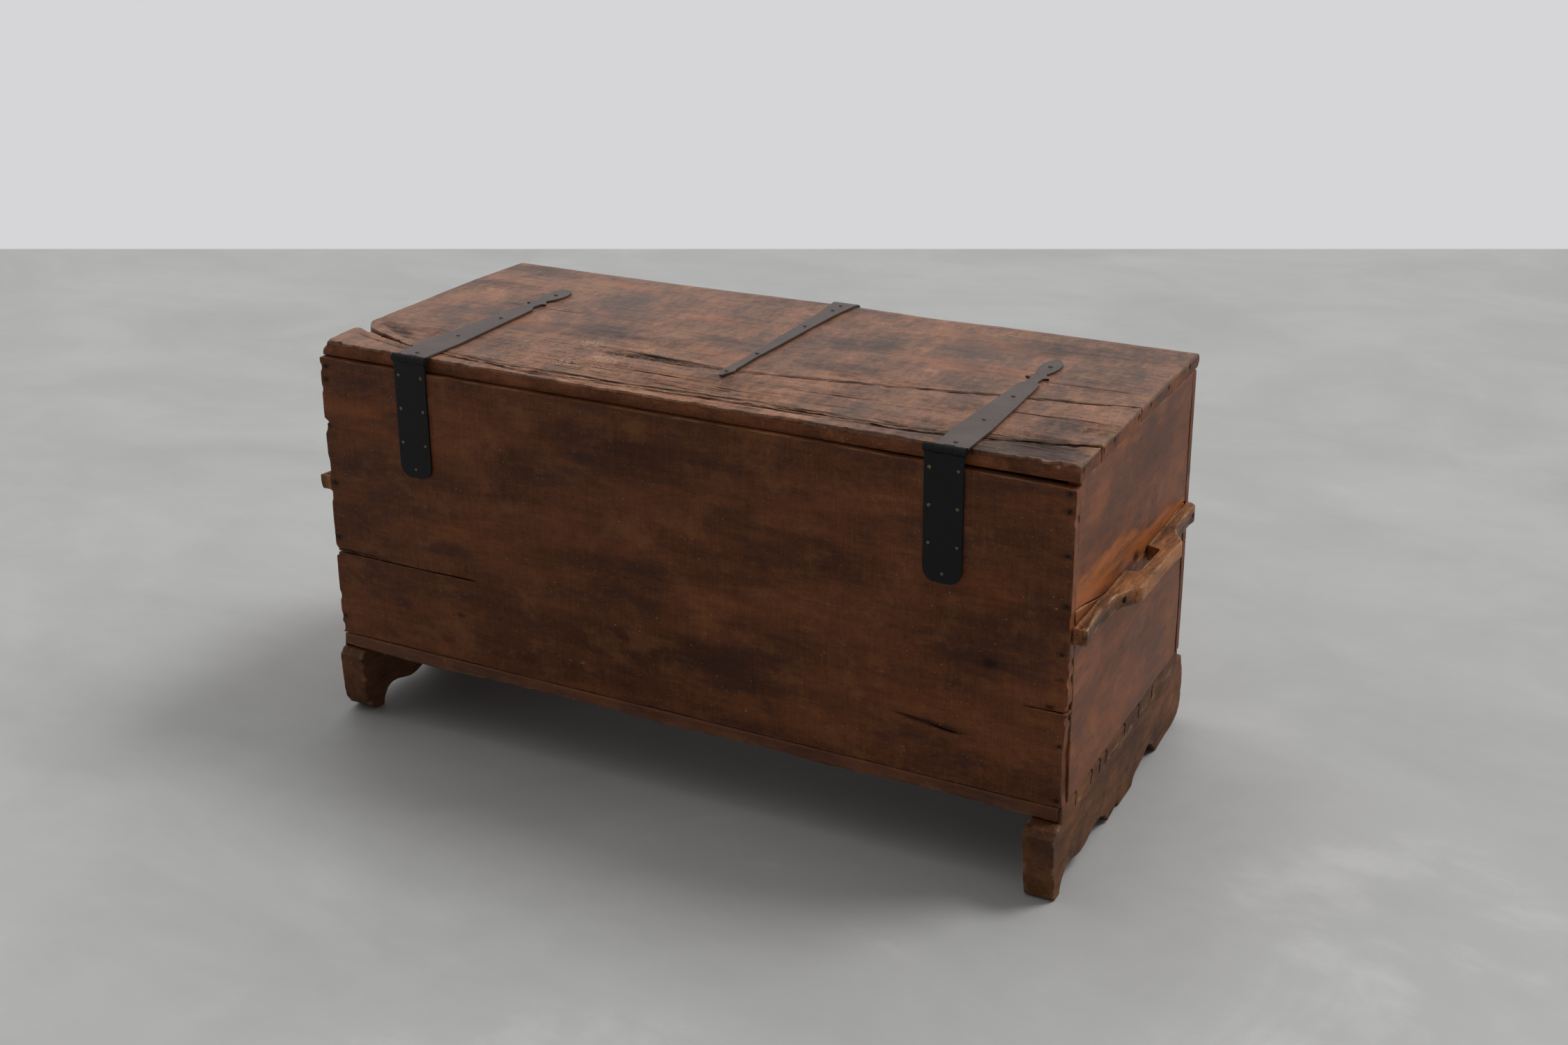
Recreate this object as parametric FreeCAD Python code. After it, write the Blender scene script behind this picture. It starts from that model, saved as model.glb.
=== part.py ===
"""Antique boarded blanket chest on sledge skids, one solid group per real piece.

Millimetres, +Z up, +X along the chest. The origin is at the bottom centre of the whole chest.
The strap hinges are on the back, which faces -Y. The hasp is on the front, which faces +Y.
"""
import FreeCAD, Part

import math
import os

V = FreeCAD.Vector

# Chest body ---------------------------------------------------------------------------------
chest_length = 1250.0        # over the two end boards
body_depth = 552.0           # outside of the back boards to outside of the front boards
side_height = 476.0          # end boards, from the bottom boards to the rim
wall_thickness = 18.0        # back and front boards
end_thickness = 19.0         # end boards
bottom_thickness = 24.0
bottom_lip = 2.0             # bottom boards stand this far out of the back and the front
rim_drop = 2.0               # back and front boards end this far below the rim
back_joint = 145.0           # height of the board joint above the bottom boards, at the back
front_joint = 190.0          # the same at the front
joint_gap = 1.0              # open joint between neighbouring boards
shrink_gap = 3.0             # opened joint between a lower end board and the back or front
end_joint_back = 295.0       # waney joint of the end boards above the bottom boards: at the back,
end_joint_bend = 272.0       # at its bend,
end_joint_front = 261.0      # and at the front, behind the handle
end_joint_run = 110.0        # distance of that bend from the back

# Skids --------------------------------------------------------------------------------------
skid_height = 114.0          # floor to the underside of the bottom boards
skid_width = 48.0
skid_cheek = 7.0             # part of the skid that rises outside the bottom boards
toe_front = 34.0             # toes stand this far out of the front
toe_back = {"left": 14.0, "right": 34.0}
toe_lean = {"left": 4.0, "right": 14.0}      # the rear toe's face leans back by this
toe_round = {"left": 38.0, "right": 10.0}    # and turns under with this radius
toe_shoulder = 9.0           # worn bevel on top of each toe
front_toe_rise = 52.0        # height of the upswept underside of the front toe
front_toe_top = 87.0         # and of the lower edge of its bevel
rear_foot = {"left": 34.0, "right": 5.0}     # the feet and arches, as distances from the back:
cusp = 213.0                 # the rear arch ends in a cusp,
nick = 268.0                 # a small nick follows,
middle_foot = 330.0          # then the middle foot up to here,
front_arch = 455.0           # the front arch,
front_foot = 505.0           # and the front foot
arch_crest = 36.0            # height of the crest of the arches' control lines
kerf_width = 2.5             # saw cuts across the cheek
kerf_depth = 21.0
kerf_steps = (58.0, 124.0, 160.0, 190.0, 275.0, 345.0, 412.0)

# Lid ----------------------------------------------------------------------------------------
lid_thickness = 24.0
lid_inset = 10.0             # the rear edge lies this far inside the back, behind the hinges
lid_overhang = 11.0          # rounded nose beyond the front boards
nose_run = 19.0              # the nose rounds off over this much of the top
nose_drop = 10.0             # its widest line lies this far below the top
nose_foot = 1.0              # below, it rounds off over the overhang and this much more
batten_width = 46.0
batten_thickness = 20.0
batten_chamfer = 4.0
batten_end_gap = 12.0        # clearance of each batten inside the back and front boards

# Handles ------------------------------------------------------------------------------------
handle_thickness = 27.0
handle_top = 274.0           # top of the handle above the bottom boards, at the back
handle_fall = 11.0           # it drops by this towards the front
handle_inset = {"back": 5.0, "front": 14.0}
handle_knob = 17.0           # the front end rounds off over this much of its length
handle_neck = 17.0           # how far the thin ends stand off the chest
handle_bow = {"back": 40.0, "front": 45.0}   # and the bowed middle
grip_depth = 22.0            # finger gap between the bow and the chest
grip_length = 110.0
grip_share = 0.39            # the gap starts at this share of the handle's length
grip_slant = 4.0             # and its ends slant by this
bolt_places = ((0.277, 27.0), (0.955, 22.0))    # each bolt's share of the length, and its head's stand-off

# Strap hinges -------------------------------------------------------------------------------
hinge_inset = {"left": 179.0, "right": 186.0}   # middle of each hinge from the end of the chest
iron_thickness = 3.0
leaf_width = 58.0
leaf_drop = 197.0            # lower end of the leaf below the lid's top
leaf_corner = 20.0
barrel_radius = 6.5
barrel_length = 62.0
barrel_inset = 0.5           # hinge axis inside the face of the back
knuckle_splits = (0.0, 0.23, 0.47, 0.71, 1.0)
knuckle_gap = 0.4
hinge_pin_radius = 2.6
pin_clearance = 0.05
strap_width = {"left": 56.0, "right": 50.0}
strap_offset = {"left": 3.0, "right": 9.0}   # the strap sits this far to the right of its leaf
strap_drift = {"left": 10.0, "right": 1.0}   # and its tip this much further
strap_length = 413.0         # its tip, from the chest's back
strap_heel = 0.96            # width at the hinge, as a share of the widest
strap_belly = 0.72           # the widest place, as a share of the taper from the neck back
strap_neck = 19.0            # width of the neck
neck_length = 47.0
neck_flare = 1.65            # shares of the neck's width: where the taper ends,
neck_waist = 1.05            # in the hollow past it,
barb_flank = 1.45            # halfway out along a barb,
barb_tip = 1.95              # at a barb's tip,
barb_hollow = 1.2            # in the hollow past the barb,
bean_root = 0.75             # and at the root of the bean
neck_hollow = 8.0            # that first hollow lies this far past the taper
barb_reach = 9.0             # the barbs point forward by this
bean_start = 4.0             # the bean's curve starts this far past its root,
hollow_run = 7.0             # and that last hollow lies this far before it
bean_width = {"left": 38.0, "right": 31.0}
bean_length = 76.0
BEAN = (1.3, 0.35, 1.15)     # its control points: share of the half width, of the length, of the width
screw_rows = (31.0, 85.5, 141.0)             # below the lid's top
screw_last = 183.0
screw_spread = 42.0
screw_cover = 3.0            # wood left over the screws' tips
strap_nail_steps = (16.0, 116.0, 226.0)      # from the chest's back
bean_nail = 35.0             # from the strap's tip

# Hasp ---------------------------------------------------------------------------------------
hasp_x = 25.0
hasp_strap_run = 417.0       # from its tip to the bend over the nose
hasp_width = 42.0
hasp_splits = (0.0, 0.3, 0.7, 1.0)
hasp_margin = 4.0            # the hasp is this much narrower on each side
hasp_drop = 14.0             # hasp axis below the widest line of the lid's nose
hasp_barrel = 4.5
hasp_pin_radius = 1.8
hasp_length = 75.0
hasp_slot = (11.0, 32.0)
hasp_slot_drop = 57.0        # staple below the hasp axis
slot_play = 4.0              # the slot's centre lies this far above the staple
staple_wire = 1.5            # radius of the wire
staple_bend = 7.0
staple_reach = 9.0
staple_cover = 2.0           # wood left over the ends of its legs
hasp_nail_steps = (11.0, 41.0, 141.0, 301.0, 397.0)   # from the bend over the nose

# Nails and screws ---------------------------------------------------------------------------
nail_head = 3.6
nail_rise = 1.6
nail_taper = 0.45            # width of a head's top, as a share of its foot
nail_shank = 1.6
short_nail = 18.0            # length of a nail that meets no batten
screw_head = 3.9
bolt_head = 5.5
bolt_shank = 3.2
bolt_rise = 2.0
rivet_rise = 3.0
wall_nail_head = 4.6
wall_nail = 43.0             # lengths of the wall nails and the floor nails
floor_nail = 48.0
nail_rows = {                # drop of each nail below the rim
    ("back", "left"): (15.0, 37.0, 113.0, 211.0, 305.0, 445.0),
    ("back", "right"): (12.0, 37.0, 100.0, 173.0, 244.0, 282.0, 382.0, 466.0),
    ("front", "left"): (20.0, 96.0, 172.0, 248.0, 324.0, 400.0, 460.0),
    ("front", "right"): (20.0, 96.0, 172.0, 248.0, 324.0, 400.0, 460.0),
}
floor_nail_inset = 28.0      # nails through the bottom boards, from the chest's ends
nails_per_end = 6            # two for each bottom board

# Levels and faces ---------------------------------------------------------------------------
half_length = chest_length / 2
back_y = -body_depth / 2
front_y = body_depth / 2
floor_top = skid_height + bottom_thickness
rim_z = floor_top + side_height
lid_top = rim_z + lid_thickness
nose_y = front_y + lid_overhang
nose_z = lid_top - nose_drop
hinge_axis = (back_y + barrel_inset, lid_top + iron_thickness - barrel_radius)
hasp_axis = (nose_y + iron_thickness / 2, nose_z - hasp_drop)
SIDES = {"left": -1, "right": 1}
hinge_x = {side: sign * (half_length - hinge_inset[side]) for side, sign in SIDES.items()}
strap_x = {side: hinge_x[side] + strap_offset[side] for side in SIDES}


def block(x0, x1, y0, y1, z0, z1):
    return Part.makeBox(x1 - x0, y1 - y0, z1 - z0, V(x0, y0, z0))


def rod(radius, start, end):
    """A round bar between two points."""
    along = end - start
    return Part.makeCylinder(radius, along.Length, start, along)


def line(*points):
    return [Part.LineSegment(a, b).toShape() for a, b in zip(points, points[1:])]


def curve(*points, begin=0):
    """A smooth curve through the points, kept from the one numbered begin."""
    spline = Part.BSplineCurve()
    spline.interpolate(list(points))
    if begin:
        spline.segment(spline.parameter(points[begin]), spline.LastParameter)
    return [spline.toShape()]


def arc(a, middle, b):
    return [Part.Arc(a, middle, b).toShape()]


def bow(*poles):
    """A smooth curve that leaves and meets the first and last legs of its control polygon."""
    spline = Part.BSplineCurve()
    spline.buildFromPoles(list(poles), False, min(3, len(poles) - 1))
    return [spline.toShape()]


def prism(edges, along):
    """The solid that a closed chain of edges sweeps along a vector."""
    return Part.Face(Part.Wire(Part.__sortEdges__(edges))).extrude(along)


def export(name, shapes):
    """Write one node: a single solid, or a group of separate ones."""
    solids = [s for shape in shapes for s in shape.Solids]
    shape = solids[0] if len(solids) == 1 else Part.makeCompound(solids)
    shape.exportStep("parts/%s.step" % name)


# Boards of the body -------------------------------------------------------------------------
def wall_boards(outer_y, inner_y, joint):
    """The lower and the upper board of the back or the front."""
    y0, y1 = sorted((outer_y, inner_y))
    split = floor_top + joint
    lower = block(-half_length, half_length, y0, y1, floor_top, split - joint_gap / 2)
    upper = block(-half_length, half_length, y0, y1, split + joint_gap / 2, rim_z - rim_drop)
    return lower, upper


def end_boards(side):
    """The lower and the upper board of one end, parted along their waney joint."""
    x0, x1 = sorted((SIDES[side] * half_length, SIDES[side] * (half_length - end_thickness)))
    y0, y1 = back_y + wall_thickness, front_y - wall_thickness
    bend_y = back_y + end_joint_run

    def outline(low, high, gap):
        corners = [V(x0, y0 + gap, low[0]), V(x0, bend_y, low[1]), V(x0, y1 - gap, low[2]),
                   V(x0, y1 - gap, high[2]), V(x0, bend_y, high[1]), V(x0, y0 + gap, high[0])]
        return prism(line(*corners, corners[0]), V(x1 - x0, 0, 0))

    joint = [floor_top + z for z in (end_joint_back, end_joint_bend, end_joint_front)]
    lower = outline([floor_top] * 3, [z - joint_gap / 2 for z in joint], shrink_gap)
    upper = outline([z + joint_gap / 2 for z in joint], [rim_z] * 3, 0.0)
    return lower, upper


def bottom_boards():
    """Three boards side by side, housed between the cheeks of the skids."""
    x1 = half_length - skid_cheek
    start, stop = back_y - bottom_lip, front_y + bottom_lip
    width = (stop - start - 2 * joint_gap) / 3
    boards = []
    for i in range(3):
        y0 = start + i * (width + joint_gap)
        boards.append(block(-x1, x1, y0, y0 + width, skid_height, floor_top))
    return boards


# Skids --------------------------------------------------------------------------------------
# Control points of the scalloped underside, as (share of the stretch, share of the crest).
REAR_ARCH = ((0, 0), (0.02, 0.6), (0.16, 1.06), (0.43, 0.3), (0.69, 1), (0.93, 0.72), (1, 0.08))
NICK = ((0, 0.08), (0.3, 0.17), (0.66, 0.08), (0.8, 0.55), (0.88, 0.06), (1, 0))
FRONT_ARCH = ((0, 0), (0.05, 0.47), (0.32, 0.33), (0.56, 0.94), (0.82, 0.72), (0.92, 0.06), (1, 0))


def skid(side):
    """One sledge skid: rounded toes, two arches with cusps, and a housing for the boards."""
    x0, x1 = sorted((SIDES[side] * half_length, SIDES[side] * (half_length - skid_width)))
    toe, turn = back_y - toe_back[side], toe_round[side]
    tip = front_y + toe_front
    lean = toe + toe_lean[side]
    bend = turn * (1 - math.sqrt(0.5))

    def at(y, z):
        return V(x0, y, z)

    def scallop(start, stop, poles):
        return bow(*(at(back_y + start + along * (stop - start), up * arch_crest)
                     for along, up in poles))

    edges = line(at(back_y, skid_height), at(toe + toe_shoulder, skid_height),
                 at(toe, skid_height - toe_shoulder), at(lean, turn))
    edges += arc(at(lean, turn), at(lean + bend, bend), at(lean + turn, 0))
    edges += line(at(lean + turn, 0), at(back_y + rear_foot[side], 0))
    edges += scallop(rear_foot[side], cusp, REAR_ARCH) + scallop(cusp, nick, NICK)
    edges += line(at(back_y + nick, 0), at(back_y + middle_foot, 0))
    edges += scallop(middle_foot, front_arch, FRONT_ARCH)
    edges += line(at(back_y + front_arch, 0), at(back_y + front_foot, 0))
    edges += bow(at(back_y + front_foot, 0), at(front_y, 0), at(tip, 0), at(tip, front_toe_rise))
    edges += line(at(tip, front_toe_rise), at(tip, front_toe_top),
                  at(tip - toe_shoulder, skid_height), at(front_y, skid_height),
                  at(front_y, floor_top), at(back_y, floor_top), at(back_y, skid_height))
    body = prism(edges, V(x1 - x0, 0, 0))
    inner, outer = SIDES[side] * (half_length - skid_cheek), SIDES[side] * half_length
    housing = block(min(inner, 0), max(inner, 0), back_y - bottom_lip, front_y + bottom_lip,
                    skid_height, floor_top)
    body = body.cut(housing)
    for step in kerf_steps:
        y = back_y + step
        body = body.cut(block(min(inner, outer), max(inner, outer), y - kerf_width / 2,
                              y + kerf_width / 2, floor_top - kerf_depth, floor_top))
    return body


# Lid ----------------------------------------------------------------------------------------
# The two joints of the lid, as (share of the half length, share of the body's depth).
REAR_JOINT = ((-1.0, 0.181), (-0.77, 0.091), (-0.60, 0.065), (0.0, 0.072), (0.34, 0.083),
              (0.60, 0.076), (0.80, 0.116), (1.0, 0.176))
FRONT_JOINT = ((-1.0, 0.330), (-0.35, 0.322), (0.08, 0.301), (0.29, 0.333), (0.55, 0.388),
               (1.0, 0.491))
# The middle board has parted from the rear one: (share of the half length, width of the split).
SPLIT = ((-0.88, 4.0), (-0.93, 8.0), (-0.97, 15.0), (-1.0, 28.0))


def joint_line(points, shift):
    return [V(along * half_length, back_y + across * body_depth + shift, rim_z)
            for along, across in points]


def lid_boards():
    """Rear, middle and front board; the middle one is split away from the rear one at the left."""
    up = V(0, 0, lid_thickness)
    gap = joint_gap / 2
    start = back_y + lid_inset
    low = joint_line(REAR_JOINT, -gap)
    rear = prism(line(low[0], V(-half_length, start, rim_z), V(half_length, start, rim_z), low[-1])
                 + curve(*low), up)

    low, high = joint_line(REAR_JOINT, gap), joint_line(FRONT_JOINT, -gap)
    slope = (low[0] - low[1]) / (low[0].x - low[1].x)
    parted = [low[1] + slope * (share * half_length - low[1].x) + V(0, width, 0) for share, width in SPLIT]
    middle = prism(curve(low[1], *parted) + line(parted[-1], high[0]) + curve(*high)
                   + line(high[-1], low[-1]) + curve(*low, begin=1), up)

    low = joint_line(FRONT_JOINT, gap)
    corners = [V(half_length, nose_y, rim_z), V(-half_length, nose_y, rim_z)]
    front = prism(curve(*low) + line(low[-1], *corners, low[0]), up)
    return rear, middle, front.common(nosed_plank())


def nose_bend(x, grow):
    """The upper half of the lid's nose, or a curve that lies outside it by grow."""
    y, z = nose_y + grow, lid_top + grow
    return bow(V(x, nose_y - nose_run, z), V(x, y, z), V(x, y, nose_z))


def nosed_plank():
    """A plank as long as the lid with the lid's nose along its front."""
    x = -half_length
    foot = V(x, front_y - nose_foot, rim_z)
    edges = nose_bend(x, 0) + bow(V(x, nose_y, nose_z), V(x, nose_y, rim_z), foot)
    edges += line(foot, V(x, back_y, rim_z), V(x, back_y, lid_top), V(x, nose_y - nose_run, lid_top))
    return prism(edges, V(chest_length, 0, 0))


def batten(side):
    x = strap_x[side]
    y0 = back_y + wall_thickness + batten_end_gap
    y1 = front_y - wall_thickness - batten_end_gap
    bar = block(x - batten_width / 2, x + batten_width / 2, y0, y1, rim_z - batten_thickness, rim_z)
    lower = [e for e in bar.Edges if e.BoundBox.ZMax < rim_z - batten_thickness / 2]
    return bar.makeChamfer(batten_chamfer, lower)


# Handles ------------------------------------------------------------------------------------
# The handle's outer face, as (share of its length, share of the way from the neck to the bow):
SWELL = ((0.0, 0.2), (0.10, 0.0), (0.19, 0.02), (0.243, 0.13), (0.278, 0.37), (0.325, 1.0))
FALL = ((0.07, 1.0), (0.105, 0.8), (0.14, 0.3), (0.19, 0.08))     # past the grip,
KNOB = ((1.0, 5.0), (0.25, 0.0), (0.0, -7.0))     # and the knob, as (share of it, step beyond the neck)


def handle(side):
    """A plank sawn to a bow in plan, with a finger gap, that falls slightly to the front."""
    y0 = back_y + handle_inset["back"]
    y1 = front_y - handle_inset["front"]
    run = y1 - y0
    grip0 = y0 + run * grip_share
    grip1 = grip0 + grip_length

    def at(out, y):
        return V(SIDES[side] * (half_length + out), y, 0)

    def bowed(points, bow, start):
        return [at(handle_neck + share * (bow - handle_neck), start + along * run) for along, share in points]

    swell, fall = bowed(SWELL, handle_bow["back"], y0), bowed(FALL, handle_bow["front"], grip1)
    end = [at(handle_neck + step, y1 - share * handle_knob) for share, step in KNOB]
    edges = curve(*swell) + line(swell[-1], fall[0]) + curve(*fall) + line(fall[-1], end[0])
    edges += arc(*end) + line(end[-1], at(0, y1), at(0, grip1), at(grip_depth, grip1 - grip_slant),
                              at(grip_depth, grip0 + grip_slant), at(0, grip0), at(0, y0), swell[0])
    plank = prism(edges, V(0, 0, -handle_thickness))
    tilt = math.degrees(math.atan(handle_fall / run))
    plank.rotate(V(0, y0, 0), V(1, 0, 0), -tilt)
    plank.translate(V(0, 0, floor_top + handle_top))
    return plank


def bolt_seats(side):
    """Where the bolts' heads sit, halfway up the handle's outer face."""
    y0 = back_y + handle_inset["back"]
    run = front_y - handle_inset["front"] - y0
    top = floor_top + handle_top - handle_thickness / 2
    return [V(SIDES[side] * (half_length + out), y0 + run * share, top - handle_fall * share)
            for share, out in bolt_places]


def handle_bolts(side):
    """Two bolts through the ends of one handle, headed outside and riveted inside."""
    bolts = []
    out = V(SIDES[side], 0, 0)
    for face in bolt_seats(side):
        inside = V(SIDES[side] * (half_length - end_thickness), face.y, face.z)
        bolt = rod(bolt_shank, inside, face)
        bolt = bolt.fuse(rod(bolt_head, face - out * bolt_rise, face + out * bolt_rise))
        bolts.append(bolt.fuse(rod(bolt_head, inside - out * rivet_rise, inside)))
    return bolts


# Ironwork -----------------------------------------------------------------------------------
def domed_nail(foot, head_out, length, head=nail_head):
    """A nail with a low conical head, driven against head_out."""
    shank = rod(nail_shank, foot - head_out * length, foot)
    cap = Part.makeCone(head, head * nail_taper, nail_rise, foot, head_out)
    return shank.fuse(cap)


def barrel_ranges(x_middle, length, splits, gap):
    """The stretches of a barrel that each knuckle takes."""
    x0 = x_middle - length / 2
    return [(x0 + a * length + gap / 2, x0 + b * length - gap / 2)
            for a, b in zip(splits, splits[1:])]


def knuckled(plate, own, others, axis, outer, bore):
    """A plate with its own knuckles rolled on, and room for the other plate's knuckles."""
    for x0, x1 in own:
        plate = plate.fuse(rod(outer, V(x0, *axis), V(x1, *axis)))
    for x0, x1 in others:
        room = rod(outer + knuckle_gap, V(x0 - knuckle_gap, *axis), V(x1 + knuckle_gap, *axis))
        plate = plate.cut(room)
    x_low, x_high = plate.BoundBox.XMin - bore, plate.BoundBox.XMax + bore
    return plate.cut(rod(bore, V(x_low, *axis), V(x_high, *axis))).removeSplitter()


def hinge_knuckles(side):
    """Knuckles of the leaf, then knuckles of the strap."""
    ranges = barrel_ranges(hinge_x[side], barrel_length, knuckle_splits, knuckle_gap)
    return ranges[0::2], ranges[1::2]


def leaf_screw_places(side):
    x, half = hinge_x[side], screw_spread / 2
    places = [(x + dx, lid_top - row) for row in screw_rows for dx in (-half, half)]
    return places + [(x, lid_top - screw_last)]


def hinge_leaf(side):
    """The back leaf: a plate with rounded lower corners that hangs from its knuckles."""
    x, half, top = hinge_x[side], leaf_width / 2, hinge_axis[1]
    low, turn = lid_top - leaf_drop, leaf_corner
    bend = turn * (1 - math.sqrt(0.5))

    def at(dx, z):
        return V(x + dx, back_y - iron_thickness, z)

    edges = line(at(-half, low + turn), at(-half, top), at(half, top), at(half, low + turn))
    edges += arc(at(half, low + turn), at(half - bend, low + bend), at(half - turn, low))
    edges += line(at(half - turn, low), at(turn - half, low))
    edges += arc(at(turn - half, low), at(bend - half, low + bend), at(-half, low + turn))
    plate = prism(edges, V(0, iron_thickness, 0))
    own, others = hinge_knuckles(side)
    bore = hinge_pin_radius + pin_clearance
    plate = knuckled(plate, own, others, hinge_axis, barrel_radius, bore)
    for sx, sz in leaf_screw_places(side):
        plate = plate.cut(rod(nail_shank, V(sx, back_y - 2 * iron_thickness, sz),
                              V(sx, back_y + iron_thickness, sz)))
    return plate


def hinge_pin(side):
    x, half = hinge_x[side], barrel_length / 2
    return rod(hinge_pin_radius, V(x - half, *hinge_axis), V(x + half, *hinge_axis))


def strap_middle(side, y):
    """The middle line of a strap, which drifts slightly to one side."""
    return strap_x[side] + strap_drift[side] * (y - hinge_axis[0]) / strap_length


def strap_outline(side, start):
    """The strap in plan: a long taper, a neck with two barbs, and a bean-shaped tip."""
    half = strap_width[side] / 2
    neck, bean = strap_neck / 2, bean_width[side] / 2
    end, root = back_y + strap_length, back_y + strap_length - bean_length
    shoulder = root - neck_length

    def flank(sign):
        def at(dx, y):
            return V(strap_middle(side, y) + sign * dx, y, lid_top)

        widest = shoulder - strap_belly * (shoulder - start)
        barb = (shoulder + root) / 2
        tip, bean_foot = barb + barb_reach, root + bean_start
        edges = line(at(half * strap_heel, start), at(half, widest), at(neck * neck_flare, shoulder))
        edges += arc(at(neck * neck_flare, shoulder), at(neck * neck_waist, shoulder + neck_hollow),
                     at(neck, barb))
        edges += arc(at(neck, barb), at(neck * barb_flank, tip), at(neck * barb_tip, tip))
        edges += arc(at(neck * barb_tip, tip), at(neck * barb_hollow, bean_foot - hollow_run),
                     at(neck * bean_root, bean_foot))
        return edges + bow(at(neck * bean_root, bean_foot), at(bean * BEAN[0], root + bean_length * BEAN[1]),
                           at(bean * BEAN[2], end), at(0, end))

    heel, x = half * strap_heel, strap_middle(side, start)
    return flank(1) + flank(-1) + line(V(x - heel, start, lid_top), V(x + heel, start, lid_top))


def hinge_strap(side):
    plate = prism(strap_outline(side, hinge_axis[0]), V(0, 0, iron_thickness))
    others, own = hinge_knuckles(side)
    bore = hinge_pin_radius + pin_clearance
    plate = knuckled(plate, own, others, hinge_axis, barrel_radius, bore)
    for foot in strap_nail_feet(side):
        plate = plate.cut(rod(nail_shank, foot - V(0, 0, 2 * iron_thickness), foot))
    return plate


def strap_nail_feet(side):
    steps = strap_nail_steps + (strap_length - bean_nail,)
    return [V(strap_middle(side, back_y + step), back_y + step, lid_top + iron_thickness) for step in steps]


def strap_nails(side):
    """The nail nearest the hinge is short; the others reach into the batten."""
    length = iron_thickness + lid_thickness + batten_thickness / 2
    first, *others = strap_nail_feet(side)
    up = V(0, 0, 1)
    return [domed_nail(first, up, short_nail)] + [domed_nail(foot, up, length) for foot in others]


def leaf_screws(side):
    out = V(0, -1, 0)
    length = iron_thickness + wall_thickness - screw_cover
    screws = []
    for x, z in leaf_screw_places(side):
        into = length if z < rim_z else lid_thickness / 2
        screws.append(domed_nail(V(x, back_y - iron_thickness, z), out, into, screw_head))
    return screws


# Hasp ---------------------------------------------------------------------------------------
def hasp_knuckles():
    """Knuckles of the strap at both ends, and the hasp's own in the middle."""
    ranges = barrel_ranges(hasp_x, hasp_width, hasp_splits, knuckle_gap)
    return [ranges[0], ranges[2]], [ranges[1]]


# The strap's taper, as (share of the half width, share of the way from the tip to the bend).
HASP_TAPER = ((0.06, 0.0), (0.41, 0.062), (0.31, 0.09), (0.41, 0.12), (0.44, 0.22), (0.58, 0.41),
              (0.76, 0.66), (0.87, 0.855), (1.0, 1.0))


def hasp_strap():
    """Spearhead tip, long taper, then bent down over the lid's nose to its knuckles."""
    bend, run = nose_y - nose_run, hasp_strap_run
    start, half = bend - run, hasp_width / 2

    def at(dx, y):
        return V(hasp_x + dx, y, lid_top)

    right = [at(half * w, start + run * share) for w, share in HASP_TAPER]
    left = [at(-half * w, start + run * share) for w, share in reversed(HASP_TAPER)]
    plate = prism(line(*right, *left, right[0]), V(0, 0, iron_thickness))
    x0, rise = hasp_x - half, iron_thickness
    bent = nose_bend(x0, 0) + nose_bend(x0, rise)
    bent += line(V(x0, bend, lid_top), V(x0, bend, lid_top + rise))
    bent += line(V(x0, nose_y, nose_z), V(x0, nose_y + rise, nose_z))
    down = block(x0, x0 + hasp_width, nose_y, nose_y + rise, hasp_axis[1], nose_z)
    plate = plate.fuse(prism(bent, V(hasp_width, 0, 0))).fuse(down)
    own, others = hasp_knuckles()
    plate = knuckled(plate, own, others, hasp_axis, hasp_barrel, hasp_pin_radius + pin_clearance)
    for foot in hasp_nail_feet():
        plate = plate.cut(rod(nail_shank, foot - V(0, 0, 2 * iron_thickness), foot))
    return plate


def hasp_nail_feet():
    bend = nose_y - nose_run
    return [V(hasp_x, bend - step, lid_top + iron_thickness) for step in hasp_nail_steps]


def hasp_strap_nails():
    return [domed_nail(foot, V(0, 0, 1), short_nail) for foot in hasp_nail_feet()]


def hasp_plate():
    """The slotted plate that hangs from the strap's end, with a rounded foot."""
    others, own = hasp_knuckles()
    half, top = hasp_width / 2 - hasp_margin, hasp_axis[1]
    low = top - hasp_length
    turn = half

    def at(dx, z):
        return V(hasp_x + dx, nose_y, z)

    edges = line(at(-half, low + turn), at(-half, top), at(half, top), at(half, low + turn))
    edges += arc(at(half, low + turn), at(0, low), at(-half, low + turn))
    plate = prism(edges, V(0, iron_thickness, 0))
    plate = knuckled(plate, own, others, hasp_axis, hasp_barrel, hasp_pin_radius + pin_clearance)
    w, h = hasp_slot
    middle = top - hasp_slot_drop + slot_play
    return plate.cut(block(hasp_x - w / 2, hasp_x + w / 2, nose_y, nose_y + iron_thickness,
                           middle - h / 2, middle + h / 2))


def hasp_pin():
    half = hasp_width / 2
    return rod(hasp_pin_radius, V(hasp_x - half, *hasp_axis), V(hasp_x + half, *hasp_axis))


def staple():
    """A bent wire whose legs are driven into the front boards."""
    z = hasp_axis[1] - hasp_slot_drop
    y = front_y + staple_reach - staple_wire - staple_bend
    root = front_y - wall_thickness + staple_cover
    legs = [rod(staple_wire, V(hasp_x, root, z + dz), V(hasp_x, y, z + dz))
            for dz in (-staple_bend, staple_bend)]
    ring = Part.makeTorus(staple_bend, staple_wire, V(hasp_x, y, z), V(1, 0, 0))
    reach = 2 * staple_bend
    bow = ring.common(block(hasp_x - reach, hasp_x + reach, y, y + reach, z - reach, z + reach))
    return bow.fuse(legs[0]).fuse(legs[1]).removeSplitter()


# Nails in the boards ------------------------------------------------------------------------
def wall_nails(wall, outer_y, out):
    """Nails through the back or the front into the edges of the end boards."""
    nails = []
    for side, sign in SIDES.items():
        for drop in nail_rows[wall, side]:
            foot = V(sign * (half_length - end_thickness / 2), outer_y, rim_z - drop)
            nails.append(domed_nail(foot, V(0, out, 0), wall_nail, wall_nail_head))
    return nails


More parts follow.
